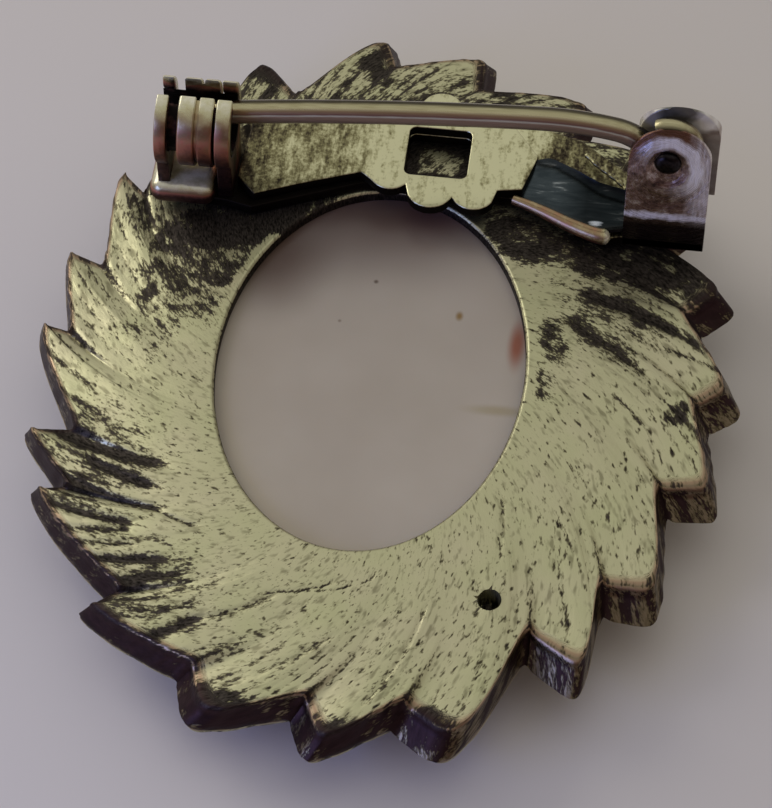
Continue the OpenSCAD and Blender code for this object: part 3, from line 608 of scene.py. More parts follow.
def combine(piece, other, how='DIFFERENCE'):
    """Takes another closed piece out of this one, or joins it on, and removes it."""
    modify(piece, 'BOOLEAN', operation=how, object=other, solver='EXACT')
    bpy.data.objects.remove(other)


def slab(name, outline, depth, low=0):
    """A plate: a filled circle of points laid on the outline, then extruded."""
    work_on(None)
    bpy.ops.mesh.primitive_circle_add(vertices=len(outline), radius=MM, fill_type='NGON')
    made = added(name, [(x, y, low) for x, y in outline])
    with editing(made):
        bpy.ops.mesh.extrude_region_move(TRANSFORM_OT_translate={"value": (0, 0, depth * MM)})
    tidy_mesh(made)
    return made


def spun(name, section, middle, axis, steps):
    """A closed section spun about an axis through a middle."""
    work_on(None)
    bpy.ops.mesh.primitive_circle_add(vertices=len(section), radius=MM, fill_type='NOTHING')
    made = added(name, section)
    with editing(made):
        bpy.ops.mesh.spin(steps=steps, angle=2 * math.pi, center=[c * MM for c in middle],
                          axis=axis, dupli=False)
    tidy_mesh(made)
    return made


def box_at(name, low, high):
    """A box between two corners."""
    work_on(None)
    bpy.ops.mesh.primitive_cube_add(size=1, location=(0, 0, 0))
    made = added(name)
    for corner in made.data.vertices:
        corner.co = [((a + b) / 2 + c * (b - a)) * MM for c, a, b in zip(corner.co, low, high)]
    return made


def tube(name, points, radii, steps=12):
    """A round bar along a path: a curve with its radii, made a mesh."""
    work_on(None)
    bpy.ops.curve.primitive_nurbs_path_add()
    curve = bpy.context.object.data
    curve.splines.clear()
    line = curve.splines.new('POLY')
    line.points.add(len(points) - 1)
    for spot, place, radius in zip(line.points, points, radii):
        spot.co = (*[c * MM for c in place], 1)
        spot.radius = radius
    curve.bevel_depth = MM
    curve.bevel_resolution = steps
    curve.use_fill_caps = True
    curve.twist_mode = 'MINIMUM'
    bpy.ops.object.convert(target='MESH')
    made = added(name)
    tidy_mesh(made)
    smooth(made)
    return made


def woven(name, grid, closed=(False, False)):
    """A skin over a grid of places, closed round along the ways that are asked for."""
    number = np.arange(grid.shape[0] * grid.shape[1]).reshape(grid.shape[:2])
    for way in (0, 1):
        if closed[way]:
            number = np.concatenate([number, number.take([0], way)], way)
    faces = np.stack([number[:-1, :-1], number[:-1, 1:], number[1:, 1:], number[1:, :-1]], axis=-1)
    mesh = bpy.data.meshes.new(name)
    mesh.from_pydata((grid.reshape(-1, 3) * MM).tolist(), [], faces.reshape(-1, 4).tolist())
    made = bpy.data.objects.new(name, mesh)
    bpy.context.scene.collection.objects.link(made)
    return made


def places_of(piece):
    """The points of a piece."""
    return np.array([v.co for v in piece.data.vertices]) / MM


def mark(piece, name, values):
    """Stores a number or a vector at every point of the piece."""
    values = np.asarray(values, np.float32)
    kind, field = ('FLOAT_VECTOR', 'vector') if values.ndim == 2 else ('FLOAT', 'value')
    layer = piece.data.attributes.new(name, kind, 'POINT')
    layer.data.foreach_set(field, values.ravel())


def settle(piece, material, body, node):
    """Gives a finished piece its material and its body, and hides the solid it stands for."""
    piece.data.materials.clear()
    piece.data.materials.append(material)
    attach(piece, body)
    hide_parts(node)


# ---- Leaf frame

def step(low, high, x):
    """0 below low and 1 above high, with a soft change between."""
    t = np.clip((x - low) / (high - low), 0, 1)
    return t * t * (3 - 2 * t)


def through(points, counts, closed=False):
    """A smooth line through points: a Catmull-Rom run of so many steps after each point."""
    points = np.asarray(points, float)
    many = len(points)
    rows = []
    for i in range(many if closed else many - 1):
        spans = [(i + k) % many if closed else min(max(i + k, 0), many - 1) for k in (-1, 0, 1, 2)]
        p, q, r, s = points[spans]
        for t in np.arange(counts[i]) / counts[i]:
            rows.append(0.5 * (2 * q + (r - p) * t + (2 * p - 5 * q + 4 * r - s) * t * t
                               + (3 * q - p - 3 * r + s) * t ** 3))
    return np.array(rows)


def leaf_columns():
    """Angle, reach, share of the leaf, and leaf number of each column round the rim."""
    points, counts = [], []
    for i, (root_a, root_v, tip_a, tip_v) in enumerate(LEAVES):
        last = i + 1 == len(LEAVES)
        next_a, next_v = (LEAVES[0][0] - 360, LEAVES[0][1]) if last else LEAVES[i + 1][:2]
        rim = [(root_a + turn * (tip_a - root_a), root_v + up * (tip_v - root_v)) for turn, up in RISE]
        rim += [(tip_a + turn * (next_a - tip_a), next_v + up * (tip_v - next_v)) for turn, up in DROP]
        points += [(*place, j / len(rim), i) for j, place in enumerate(rim)]
        counts += [4] * (len(RISE) - 1) + [3] * (len(DROP) + 1)
    points = np.array(points)
    many = len(points)
    # The angle falls all the way round, so it is made smooth as its offset from an even fall.
    even = -360 * np.arange(many) / many
    line = through(np.column_stack([points[:, 0] - even, points[:, 1]]), counts, closed=True)
    where = np.concatenate([i + np.arange(c) / c for i, c in enumerate(counts)])
    now = where.astype(int)
    leaf, part = points[now, 3].astype(int), points[now, 2]
    rise = points[(now + 1) % many, 2] - part
    # The share goes back to 0 at the root of the next leaf, slowly at first.
    share = part + rise * (where - now) ** np.where(rise > 0, 1, 2)
    return line[:, 0] - 360 * where / many, line[:, 1], share, leaf


def ring_place(angle, v):
    """X and Y of a place on the ring, from its angle and its reach."""
    a = np.radians(angle)
    x = OPEN_X + (OPEN_RX + RING_W * v) * np.cos(a)
    y = OPEN_Y + RING_SHIFT * np.maximum(0, v - POCKET) + (OPEN_RY + RING_W * v) * np.sin(a)
    return x, y


def ripple(x, y, z, seed):
    """Soft noise in -1..1: layered sines with fixed phases, the same on each run."""
    rng = np.random.default_rng(seed)
    total = np.zeros(np.broadcast(x, y, z).shape)
    for k in range(9):
        d = rng.normal(size=3)
        d /= np.linalg.norm(d)
        total += np.sin((x * d[0] + y * d[1] + z * d[2]) * (1.0 + 0.35 * k) + rng.uniform(0, 6.28))
    return total / 4.5


def round_way(straight, line, v):
    """Way round the ring from the angle of a line to each place."""
    radius = (OPEN_RX + OPEN_RY) / 2 + RING_W * v
    return np.radians((straight - line + 180) % 360 - 180) * radius


def carve(straight, v, share, leaf):
    """Depth of the grooves at each place of the back, and the black in them."""
    deep, black, roots = np.zeros(v.shape), np.zeros(v.shape), np.zeros(v.shape)
    for a0, v0, a1, v1, wide, cut, dark in GROOVES:
        t = np.clip((v - v0) / (v1 - v0), 0, 1)
        off = round_way(straight, a0 + t * (a1 - a0), v)
        away = (v - v0 - t * (v1 - v0)) * RING_W
        near = np.exp(-1.4 * (off ** 2 + (0.6 * away) ** 2) / wide ** 2)
        deep = np.maximum(deep, cut * near)
        black = np.maximum(black, dark * near)
    # Soft ridges along each leaf, five on most, deepest toward the tips.
    rng = np.random.default_rng(4)
    many = rng.integers(4, 7, len(LEAVES))[leaf]
    shift = rng.uniform(-0.15, 0.15, len(LEAVES))[leaf]
    valley = (0.5 + 0.5 * np.cos(2 * np.pi * (share * many + shift))) ** 3
    valley *= step(0.12, 0.6, v) * (0.7 + 0.3 * ripple(straight * 0.2, v * 3, leaf * 1.0, 8))
    deep += sizes().groove / MM * valley
    black = np.maximum(black, (0.22 + 0.3 * step(0.5, 0.75, v)) * valley)
    # The dark line under the overlap of each leaf, from its root inwards: antiquing in the groove, and
    # painted shade of the overlap.
    for i, (root_a, root_v, _, _) in enumerate(LEAVES):
        long = 0.22 + 0.12 * ((i * 37) % 10) / 10
        off = round_way(straight, root_a + SWEEP * root_v, v)
        roots = np.maximum(roots, step(root_v - long, root_v - 0.05, v) * np.exp(-(off / 0.16) ** 2))
    return deep + 0.1 * roots, np.maximum(black, 0.8 * roots)


def build_leaf_frame():
    angle, reach, share, leaf = leaf_columns()
    rows = []
    for point, after in zip(SECTION, SECTION[1:] + SECTION[:1]):
        for t in np.arange(point[6]) / point[6]:
            rows.append([a + (b - a) * t for a, b in zip(point[:6], after[:6])])
    rows = np.array(rows)
    # The back is a smooth run through its points and not a row of flats.
    first = sum(p[6] for p in SECTION[:2])
    back = through([p[:5] for p in SECTION[2:10]], [p[6] for p in SECTION[2:9]])
    rows[first:first + len(back), :5] = back
    by_reach, own, height, by_leaf, by_flare, face = rows.T[:, None]
    flare = (FLARE_MEAN + FLARE_SWING * np.cos(np.radians(angle + 30)))[:, None] / RING_W
    v = by_reach * reach[:, None] + own + by_flare * flare
    turned = angle[:, None] + SWEEP * (reach[:, None] - v)
    straight, share, leaf = [np.broadcast_to(row[:, None], v.shape)
                             for row in (angle + SWEEP * reach, share, leaf)]
    z = height + by_leaf * (LEAF_STEP * (0.5 - share))
    x, y = ring_place(turned, v)
    cut, black = carve(straight, v, share, leaf)
    lumps = 0.008 * (1 + ripple(x * 1.6, y * 1.6, z, 2)) + 0.004 * (1 + ripple(x * 7, y * 7, z, 5))
    z = z - (face < 0.5) * step(0.0, 0.05, v) * (cut + lumps * step(0.03, 0.3, v))
    # The walls are rough from the mould, and the front has four soft hollows on each leaf.
    rough = 0.05 * (1 + ripple(straight * 1.3, z * 1.2, v, 11))
    rough = rough * ((face > 0.5) & (face < 1.5) & (v > 0.5))
    dips = (0.5 + 0.5 * np.cos(2 * np.pi * share * 4)) ** 2
    z = z + 0.1 * ((face > 1.2) & (v > 0.3)) * dips * step(0.35, 0.8, v)
    x, y = ring_place(turned, v - rough / RING_W)
    # The casting hole: the points round its edge are drawn to two circles and its floor goes down.
    dx, dy = x - PIT_X, y - PIT_Y
    far = np.hypot(dx, dy)
    hole = (face < 0.5) & (far < PIT_R)
    lip = (face < 0.5) & (far >= PIT_R) & (far < PIT_LIP)
    drawn = np.where(hole & (far > PIT_R - 0.26), PIT_R - 0.06, np.where(lip, PIT_R + 0.01, far))
    x, y = PIT_X + dx * drawn / far, PIT_Y + dy * drawn / far
    z = np.where(lip & (dx > 0.2), z + 0.05, z)
    z = np.where(hole, PIT_Z + 0.3 * far, z)
    black = np.where(hole, np.where(far > 0.4, 0.7, 1.6), black)
    # The stains from the table: partly antiquing, partly painted shade under the bar and among the top
    # leaves.
    stain_and_shade = np.zeros(v.shape)
    for cx, cy, wide, high, turn, much in STAINS_AND_SHADE:
        c, s = math.cos(math.radians(turn)), math.sin(math.radians(turn))
        u, w = (x - cx) * c + (y - cy) * s, (y - cy) * c - (x - cx) * s
        stain_and_shade = np.maximum(stain_and_shade, much * (1 - step(0.45, 1.35, np.hypot(u / wide, w / high))))
    # Near the opening the stains are cleared, but not at the top, where they stay as the painted shadow
    # of the bar.
    stain_and_shade = stain_and_shade * np.where(y < 7, step(0.03, 0.075, v), 1)
    # Under the square hole of the pad the middle is left lighter, and its border is painted black as the
    # shadow of the hole's walls.
    hole_x, hole_y = [abs(a - b) for a, b in zip((x, y - HOLE_SHADE_UP), on_bar(*HOLE_AT))]
    hole_shadow = step(0.75, 1.0, np.maximum(hole_x / HOLE_SHADE_X, hole_y / HOLE_SHADE_Y))
    stain_and_shade = np.where(np.maximum(hole_x, hole_y) < 2.2, 0.5 + 0.9 * hole_shadow, stain_and_shade)
    # The front has no stains, and the right side of the back is made brighter than the rest.
    stain_and_shade = np.where(face > 1.5, 0, stain_and_shade)
    stain_and_shade = stain_and_shade - 0.22 * step(1, 7, x) * (1 - step(2, 6, y)) * (stain_and_shade < 0.1)
    # The walls are marked for their near-black, which is partly antiquing and partly painted shade; the
    # mark is weaker low on the wall, so the bottom is painted lighter.
    side = np.where((v > 0.5) & (face < 1.5), np.clip(face, 0, 1), 0)
    side = side * (0.82 + 0.18 * step(2.7, 3.3, z))
    # A thin line along the top edge of the wall is rubbed bare, and its pale tone also stands in as a
    # painted highlight along that edge.
    edge = (by_reach > 0.98) & (by_reach < 0.99)
    side, black = np.where(edge, 0.35, side), np.where(edge, 0, black)
    black = np.where(face > 1.5, 0.5 * dips, black)
    black = np.where((face > 0.5) & (v < 0.1) & (z > 4.3) & (z < 4.9), 1.0, black)
    made = woven("leaf_frame", np.stack([x, y, z], axis=-1), (True, True))
    # The marks run along the leaves, and are short on the walls and in the bezel.
    turn = np.radians(straight)
    short = (side > 0) | ((face > 1.5) & (v < 0.45))
    flow = np.stack([FLOW_R * np.cos(turn), FLOW_R * np.sin(turn),
                     v * RING_W + (0.6 + 1.8 * short) * z], axis=-1)
    mark(made, "flow", flow.reshape(-1, 3))
    for name, values in (("hollow", black), ("stain_and_shade", stain_and_shade), ("side", side)):
        mark(made, name, values.ravel())
    with editing(made):
        bpy.ops.mesh.normals_make_consistent(inside=False)
    smooth(made, 50)
    return made


class BROOCH_OT_leaf_frame(bpy.types.Operator):
    """Make the cast frame with its ring of leaves"""
    bl_idname = "brooch.leaf_frame"
    bl_label = "Leaf frame"

    def execute(self, context):
        settle(build_leaf_frame(), antiqued_casting(), "brooch", "frame")
        return {'FINISHED'}


# ---- Cameo

def inside_depth(outline, x, y):
    """Depth of each place inside an outline, or 0 outside it."""
    inside = np.zeros(x.shape, bool)
    near = np.full(x.shape, 9.0)
    for (px, py), (qx, qy) in zip(outline, outline[1:] + outline[:1]):
        crosses = (py > y) != (qy > y)
        if qy != py:
            inside ^= crosses & (x < px + (qx - px) * (y - py) / (qy - py))
        wide, high = qx - px, qy - py
        t = np.clip(((x - px) * wide + (y - py) * high) / (wide ** 2 + high ** 2), 0, 1)
        near = np.minimum(near, np.hypot(x - px - t * wide, y - py - t * high))
    return np.where(inside, near, 0)


def relief(x, y):
    """Rise of the figure in shares of FIGURE_H, with waves in the hair and folds in the drape."""
    total = np.zeros(x.shape)
    waves = np.sin(75 * np.hypot(x - 0.12, y - 0.3) + 3.0 * np.arctan2(y - 0.3, x - 0.12))
    folds = np.sin(52 * (y + 0.5 * x * x) - 9 * x)
    for outline, rise, edge, detail in (
            (BUST, 0.64, 0.1, 0 * x), (HAIR, 0.92, 0.09, 0.03 * waves),
            (CURL, 0.82, 0.045, 0.03 * np.sin(90 * y + 20 * x)), (DRAPE, 0.8, 0.06, 0.025 * folds)):
        d = np.minimum(1, inside_depth(outline, x, y) / edge)
        total = np.maximum(total, (rise + detail) * np.sqrt(d * (2 - d)))
    return total


def build_cameo():
    """The back with its shallow dish, the wall, and the front with the figure."""
    a = 2 * np.pi * np.arange(180) / 180
    back_z = SEAT_Z - 0.05
    rings = [(k, back_z - sizes().dish / MM * (1 - step(0.5, 0.78, k))) for k in np.linspace(0, 1, 30)]
    rings += [(1, z) for z in np.linspace(back_z - 0.1, GROUND_Z + RIM_IN, 5)]
    grid = [(k * CAMEO_RX * np.cos(a), k * CAMEO_RY * np.sin(a), np.full(a.shape, z)) for k, z in rings]
    for k in np.linspace(1, 0, 84):
        x, y = k * (CAMEO_RX - RIM_IN) * np.cos(a), k * (CAMEO_RY - RIM_IN) * np.sin(a)
        grid.append((x, y, GROUND_Z - FIGURE_H * relief(-x / CAMEO_RY, y / CAMEO_RY)))
    grid = np.array(grid).transpose(0, 2, 1) + (OPEN_X, OPEN_Y, 0)
    made = woven("cameo_stone", grid, (False, True))
    tidy_mesh(made)
    smooth(made)
    return made


class BROOCH_OT_cameo(bpy.types.Operator):
    """Make the moulded cameo, with its plain back and its figure on the front"""
    bl_idname = "brooch.cameo"
    bl_label = "Cameo"

    def execute(self, context):
        settle(build_cameo(), milky_resin(), "brooch", "cameo")
        return {'FINISHED'}


# ---- Pin bar

def on_bar(share, across):
    return BAR_LEFT + share * (BAR_RIGHT - BAR_LEFT), PIN_Y + across * BAR_HALF


def fine_outline(points, gap):
    """The outline with more points on its sides, at most a gap apart."""
    full = []
    for p, q in zip(points, points[1:] + points[:1]):
        many = max(1, round(math.dist(p, q) / gap))
        full += [(p[0] + (q[0] - p[0]) * i / many, p[1] + (q[1] - p[1]) * i / many) for i in range(many)]
    return full


def scalloped():
    """Outline of the pad, with its edge pushed out to the round scallops."""
    outline = []
    discs = [(*on_bar(share, across), r * BAR_HALF) for share, across, r in SCALLOPS]
    middle = PIN_Y + 0.8 * BAR_HALF
    for x, y in fine_outline([on_bar(*p) for p in PAD_EDGE], 0.2):
        for cx, cy, r in discs:
            if abs(x - cx) < r and (cy < middle) == (y < middle):
                rise = math.sqrt(r * r - (x - cx) ** 2)
                y = min(y, cy - rise) if y < middle else max(y, cy + rise)
        outline.append((x, y))
    return outline


def hole_cutter(low, high):
    """The square hole, with its corners rounded."""
    x, y = on_bar(*HOLE_AT)
    inner, outline = HOLE / 2 - HOLE_R, []
    for i, (sx, sy) in enumerate(((1, 1), (-1, 1), (-1, -1), (1, -1))):
        for a in np.linspace(i, i + 1, 6) * math.pi / 2:
            outline.append((x + sx * inner + HOLE_R * math.cos(a), y + sy * inner + HOLE_R * math.sin(a)))
    return slab("hole_cutter", outline, high - low, low)


def bar_stain_and_shade(piece, extra=0.0, near=0.0):
    """Black antiquing toward the catch and near the hinge, and painted shade on the sides and on the near
    strip.
    """
    x, y, z = places_of(piece).T
    left = 0.42 * (1 - step(-3.4, -1.2, x)) + 0.35 * (1 - step(-8.6, -6.8, x))
    right = 0.55 * step(5.2, 6.0, x - 0.3 * (y - PIN_Y))
    # Painted shade on the sides and under the near edge.
    wall_black_and_shade = 1.3 * (z < z.max() - 0.045)
    strip_shade = near * (y < PIN_Y) * (x < 6)
    mark(piece, "stain_and_shade", np.clip(left + right + wall_black_and_shade + strip_shade + extra, 0, 1.5))


def build_bar():
    sheet = slab("bar_sheet", fine_outline([on_bar(*p) for p in BAR_EDGE], 0.4), SHEET_T, BAR_Z)
    pad = slab("bar_pad", scalloped(), PAD_T - 0.01, TOP_Z)
    for piece, width in ((sheet, 0.06 * MM), (pad, None)):
        combine(piece, hole_cutter(BAR_Z - 1, TOP_Z + PAD_T + 1))
        ease(piece, width)
        modify(piece, 'TRIANGULATE')
        # Cuts 1 mm apart give the stains and the painted shade points to lie on.
        with editing(piece):
            for axis, low, high in (((1, 0, 0), -12, 14), ((0, 1, 0), 8, 16)):
                for k in range(low, high + 1):
                    bpy.ops.mesh.select_all(action='SELECT')
                    bpy.ops.mesh.bisect(plane_co=[k * MM * a for a in axis], plane_no=axis)
    bar_stain_and_shade(sheet, 0.12, 1.0)
    bar_stain_and_shade(pad)
    return sheet, pad


def build_trough():
    """The dished end of the bar between the pad and the hinge, with its flange and its far lip."""
    i = np.arange(31)
    t = np.linspace(0, 1, 17)[:, None]
    low, high = [np.array([np.interp(i / 7.5, range(5), row) for row in zip(*side)])[:, None]
                 for side in (TROUGH_NEAR, TROUGH_FAR)]
    x, y = low + (high - low) * t
    rise = 0.3 * (2 * t - 1) ** 4 + 0.28 * t * t - 0.06 * np.sin(math.pi * i / 30)
    z = TOP_Z + 0.12 + rise * np.minimum(1, 0.25 + i / 8)
    trough = woven("hinge_trough", np.stack([x, y, z], axis=-1))
    modify(trough, 'SOLIDIFY', thickness=0.14 * MM, offset=-1)
    tidy_mesh(trough)
    smooth(trough, 50)
    path = through([(x, y, TOP_Z + 0.12) for x, y in FLANGE], [6] * (len(FLANGE) - 1))
    swell = [0.24 + 0.2 * i / len(path) for i in range(len(path) - 3)]
    roll = tube("rolled_flange", path, swell + [0.38, 0.28, 0.12])
    # The flange is tarnished; its lower half is painted darker as shade, and its end is left bright as a
    # painted highlight.
    x, _, z = places_of(roll).T
    low = step(-0.1, 0.3, TOP_Z + 0.12 - z)
    mark(roll, "stain_and_shade", (0.42 + 0.22 * low) * (1 - step(9.9, 10.25, x)))
    path = through([(x, y, TOP_Z + 0.35) for x, y in FAR_LIP], [6] * (len(FAR_LIP) - 1))
    beads = [0.12 + 0.045 * math.sin(2.3 * i) * math.sin(0.9 * i + 1) for i in range(len(path))]
    lip = tube("far_lip", path, beads)
    mark(lip, "stain_and_shade", np.full(len(lip.data.vertices), 0.55))
    return trough, roll, lip


def build_ear(name, side, more_x):
    """One ear of the hinge: a plate with a round top, bent over toward the pin line."""
    bend, long = SHEET_T + EAR_BEND, SHEET_T + EAR_BEND + EAR_LONG
    arc = [(EAR_R * math.cos(a), long + EAR_R * math.sin(a)) for a in np.linspace(0, math.pi, 49)]
    made = slab(name, [(-EAR_R, 0), (EAR_R, 0)] + arc, SHEET_T)
    with editing(made):
        for s in np.linspace(bend - 0.5, bend + 0.5, 7):
            bpy.ops.mesh.select_all(action='SELECT')
            bpy.ops.mesh.bisect(plane_co=(0, s * MM, 0), plane_no=(0, 1, 0))
    radius = 1 / EAR_LEAN
    for corner in made.data.vertices:
        # The plate follows an arc 1 mm long at the bend, and w is the depth behind its outer face.
        x, s, w = [c / MM for c in corner.co]
        start = s - bend + 0.5
        turn, past = EAR_LEAN * min(1, max(0, start)), max(0, start - 1)
        y = radius * (1 - math.cos(turn)) + past * math.sin(turn) + w * math.cos(turn)
        z = min(s, bend - 0.5) + radius * math.sin(turn) + past * math.cos(turn) - w * math.sin(turn)
        corner.co = ((RIVET_X + more_x + EAR_IN + x) * MM,
                     (PIN_Y + side * (BAR_HALF - y)) * MM, (BAR_Z + z) * MM)
    tidy_mesh(made)
    with editing(made):
        bpy.ops.mesh.bisect(plane_co=(0, (PIN_Y + side * (WIRE_R + SIDE_GAP)) * MM, 0),
                            plane_no=(0, -side, 0), clear_outer=True, use_fill=True)
    tidy_mesh(made)
    ease(made, 0.17 * MM, segments=5)
    return made


def catch_tarnish_and_shade(piece):
    """Tarnish and painted light and shade of the catch: pale on top, copper-toned and dark low down,
    black inside and in the gaps.
    """
    _, y, z = places_of(piece).T - [[0], [CATCH_Y], [CATCH_Z]]
    # Painted light and shade by how each place faces: pale on top, dark low down.
    turn = np.degrees(np.arctan2(z, -y))
    turn = np.where(turn < -90, 180, turn)
    tarnish_and_shade = np.interp(turn, [-90, -30, 10, 40, 70, 110, 180], [1.0, 0.85, 0.58, 0.4, 0.12, 0.05, 0.3])
    # Painted shade inside, in the gaps by the collar.
    inside = 1 - step(CATCH_R - 0.62, CATCH_R - 0.3, np.hypot(y, z))
    # The far teeth by the mouth are painted darker as shade.
    mouth_shade = (z > 0.3) * (np.hypot(y, z) < CATCH_R - 0.1) * 0.35
    mark(piece, "stain_and_shade", np.maximum(tarnish_and_shade, np.maximum(inside, mouth_shade)))


def mouth_arc(r, many):
    """A circle round the middle of the catch, from the far side of the mouth to the near side."""
    far, near = MOUTH_FAR + PIN_Y - CATCH_Y, MOUTH_NEAR - PIN_Y + CATCH_Y
    return [(r * math.sin(a), r * math.cos(a))
            for a in np.linspace(math.asin(far / r), 2 * math.pi - math.asin(near / r), many)]


def build_cheek(name, x, wide):
    """One cheek of the catch: a ring with the mouth cut out, on its neck."""
    half, foot = NECK_W / 2, BAR_Z - CATCH_Z
    # The neck leaves the ring on both sides and goes straight down to the bar.
    outer = [p for p in mouth_arc(CATCH_R, 72) if not (p[1] < 0 and abs(p[0]) < half)]
    outline = [p for p in outer if p[0] > 0] + [(half, foot), (-half, foot)]
    outline += [p for p in outer if p[0] <= 0] + mouth_arc(COLLAR_R + 0.05, 60)[::-1]
    made = slab(name, outline, wide)
    for corner in made.data.vertices:
        y, z, w = corner.co
        corner.co = (x * MM + w, CATCH_Y * MM + y, CATCH_Z * MM + z)
    tidy_mesh(made)
    ease(made)
    catch_tarnish_and_shade(made)
    return made


def build_catch_base():
    """The flange that joins the feet of the two cheeks."""
    made = box_at("catch_base", (*BASE_LOW, BAR_Z + 0.02), (*BASE_HIGH, TOP_Z + 0.78))
    ease(made, 0.62 * MM, segments=6)
    # Painted shade: darker toward the bottom, pale on top.
    z = places_of(made)[:, 2]
    mark(made, "stain_and_shade", 0.05 + 0.8 * (1 - step(BAR_Z + 0.75, TOP_Z + 0.72, z)))
    return made


class BROOCH_OT_pin_bar(bpy.types.Operator):
    """Make the bar with its pad, its dished end, the ears of the hinge and the cheeks of the catch"""
    bl_idname = "brooch.pin_bar"
    bl_label = "Pin bar"

    def execute(self, context):
        plate, catch = plated_sheet(), turned_catch()
        made = [(piece, plate) for piece in build_bar()]
        made += zip(build_trough(), (burnished_trough(), catch, plate))
        made += [
            (build_ear("near_ear", -1, 0), polished_ear()),
            (build_ear("far_ear", 1, EAR_SHIFT), bright_steel()),
            (build_cheek("left_cheek", CHEEK_A, SHEET_T), catch),
            (build_cheek("right_cheek", CHEEK_A + CATCH_W - CHEEK_T, CHEEK_T), catch),
            (build_catch_base(), catch)]
        for piece, material in made:
            settle(piece, material, "brooch", "pin_bar")
        return {'FINISHED'}


# ---- Rivet, pin and catch

def build_rivet():
    """A shank with a dome at each end: a half section, spun about the rivet line."""
    face = WIRE_R + SIDE_GAP + 0.92 * SHEET_T + 0.02
    half = [(0, face + HEAD_H)]
    half += [(HEAD_R * a, face + HEAD_H * math.sqrt(1 - 0.97 * a * a)) for a in np.linspace(0.2, 1, 8)]
    half += [(HEAD_R, face), (RIVET_R, face)]
    section = [(RIVET_X + r, PIN_Y + y, RIVET_Z) for r, y in half]
    section += [(RIVET_X + r, PIN_Y - y, RIVET_Z) for r, y in reversed(half)]
    made = spun("rivet_domed", section, (RIVET_X, PIN_Y, RIVET_Z), (0, 1, 0), 48)
    smooth(made, 35)
    return made


def after(p, r, turn):
    """The end of a bend: a place and the direction from the middle of the bend to the wire."""
    a, b = math.radians(p[2]), math.radians(p[2] + turn)
    return (p[0] + r * (math.cos(b) - math.cos(a)), p[1] + r * (math.sin(b) - math.sin(a)), p[2] + turn)


def pin_path():
    """The middle line of the wire from its eye to its point, and its radii."""
    coil = RIVET_R + EYE_GAP + WIRE_R
    # The loop runs round the rivet up to the start of the crook.
    line = [(RIVET_X + coil * math.cos(math.radians(w)), RIVET_Z + coil * math.sin(math.radians(w)))
            for w in np.linspace(EYE_END + 270, EYE_END, EYE_POINTS)]
    place = (*line.pop(), EYE_END - 180)
    bends = [(CROOK_R, CROOK_TURN, 18), (SHOULDER_R, SHOULDER_TURN, 16)]
    stem = after(after(place, *bends[0][:2]), *bends[1][:2])
    # The bow of the stem ends in the catch.
    reach = np.array([BARREL_X + BARREL_W - stem[0], CATCH_Z + STEM_UP - stem[1]])
    t = math.radians(stem[2])
    inward = -reach @ np.array([math.cos(t), math.sin(t)])
    turn = 2 * math.degrees(math.atan2(inward, reach @ np.array([-math.sin(t), math.cos(t)])))
    for r, turn, many in bends + [(reach @ reach / (2 * inward), turn, 60)]:
        line += [after(place, r, turn * i / many)[:2] for i in range(many)]
        place = after(place, r, turn)
    widths = [WIRE_R] * len(line)
    t = math.radians(place[2])
    for s, width in ((0, WIRE_R), (0.6, 0.47), (1.2, 0.34), (1.7, 0.23), (2.02, 0.15), (2.16, 0.05)):
        line.append((place[0] - math.sin(t) * s, place[1] + math.cos(t) * s))
        widths.append(width)
    return line, widths


def build_pin():
    path, widths = pin_path()
    made = tube("pin_wire_stem", [(x, PIN_Y, z) for x, z in path], widths, steps=10)
    # How far each place is turned from the far upper side toward the cameo and below, 0 to 1.
    line = np.array(path)
    run = np.gradient(line, axis=0)
    out = np.stack([run[:, 1], -run[:, 0]], axis=1)
    out /= np.linalg.norm(out, axis=1)[:, None]
    co = places_of(made)
    off = co[:, None, [0, 2]] - line[None]
    near = np.argmin((off ** 2).sum(axis=2), axis=1)
    up = (off[np.arange(len(co)), near] * out[near]).sum(axis=1)
    angle = np.degrees(np.arctan2(up, PIN_Y - co[:, 1]))
    turn = np.where(angle < -127, 0, np.clip((143 - angle) / 180, 0, 1))
    # The eye is painted bright along its middle and darker at its sides, as light and shade.
    turn = np.where(near < EYE_POINTS, 0.42 - 0.26 * np.abs(co[:, 1] - PIN_Y) / WIRE_R, turn)
    mark(made, "turn", turn)
    return made


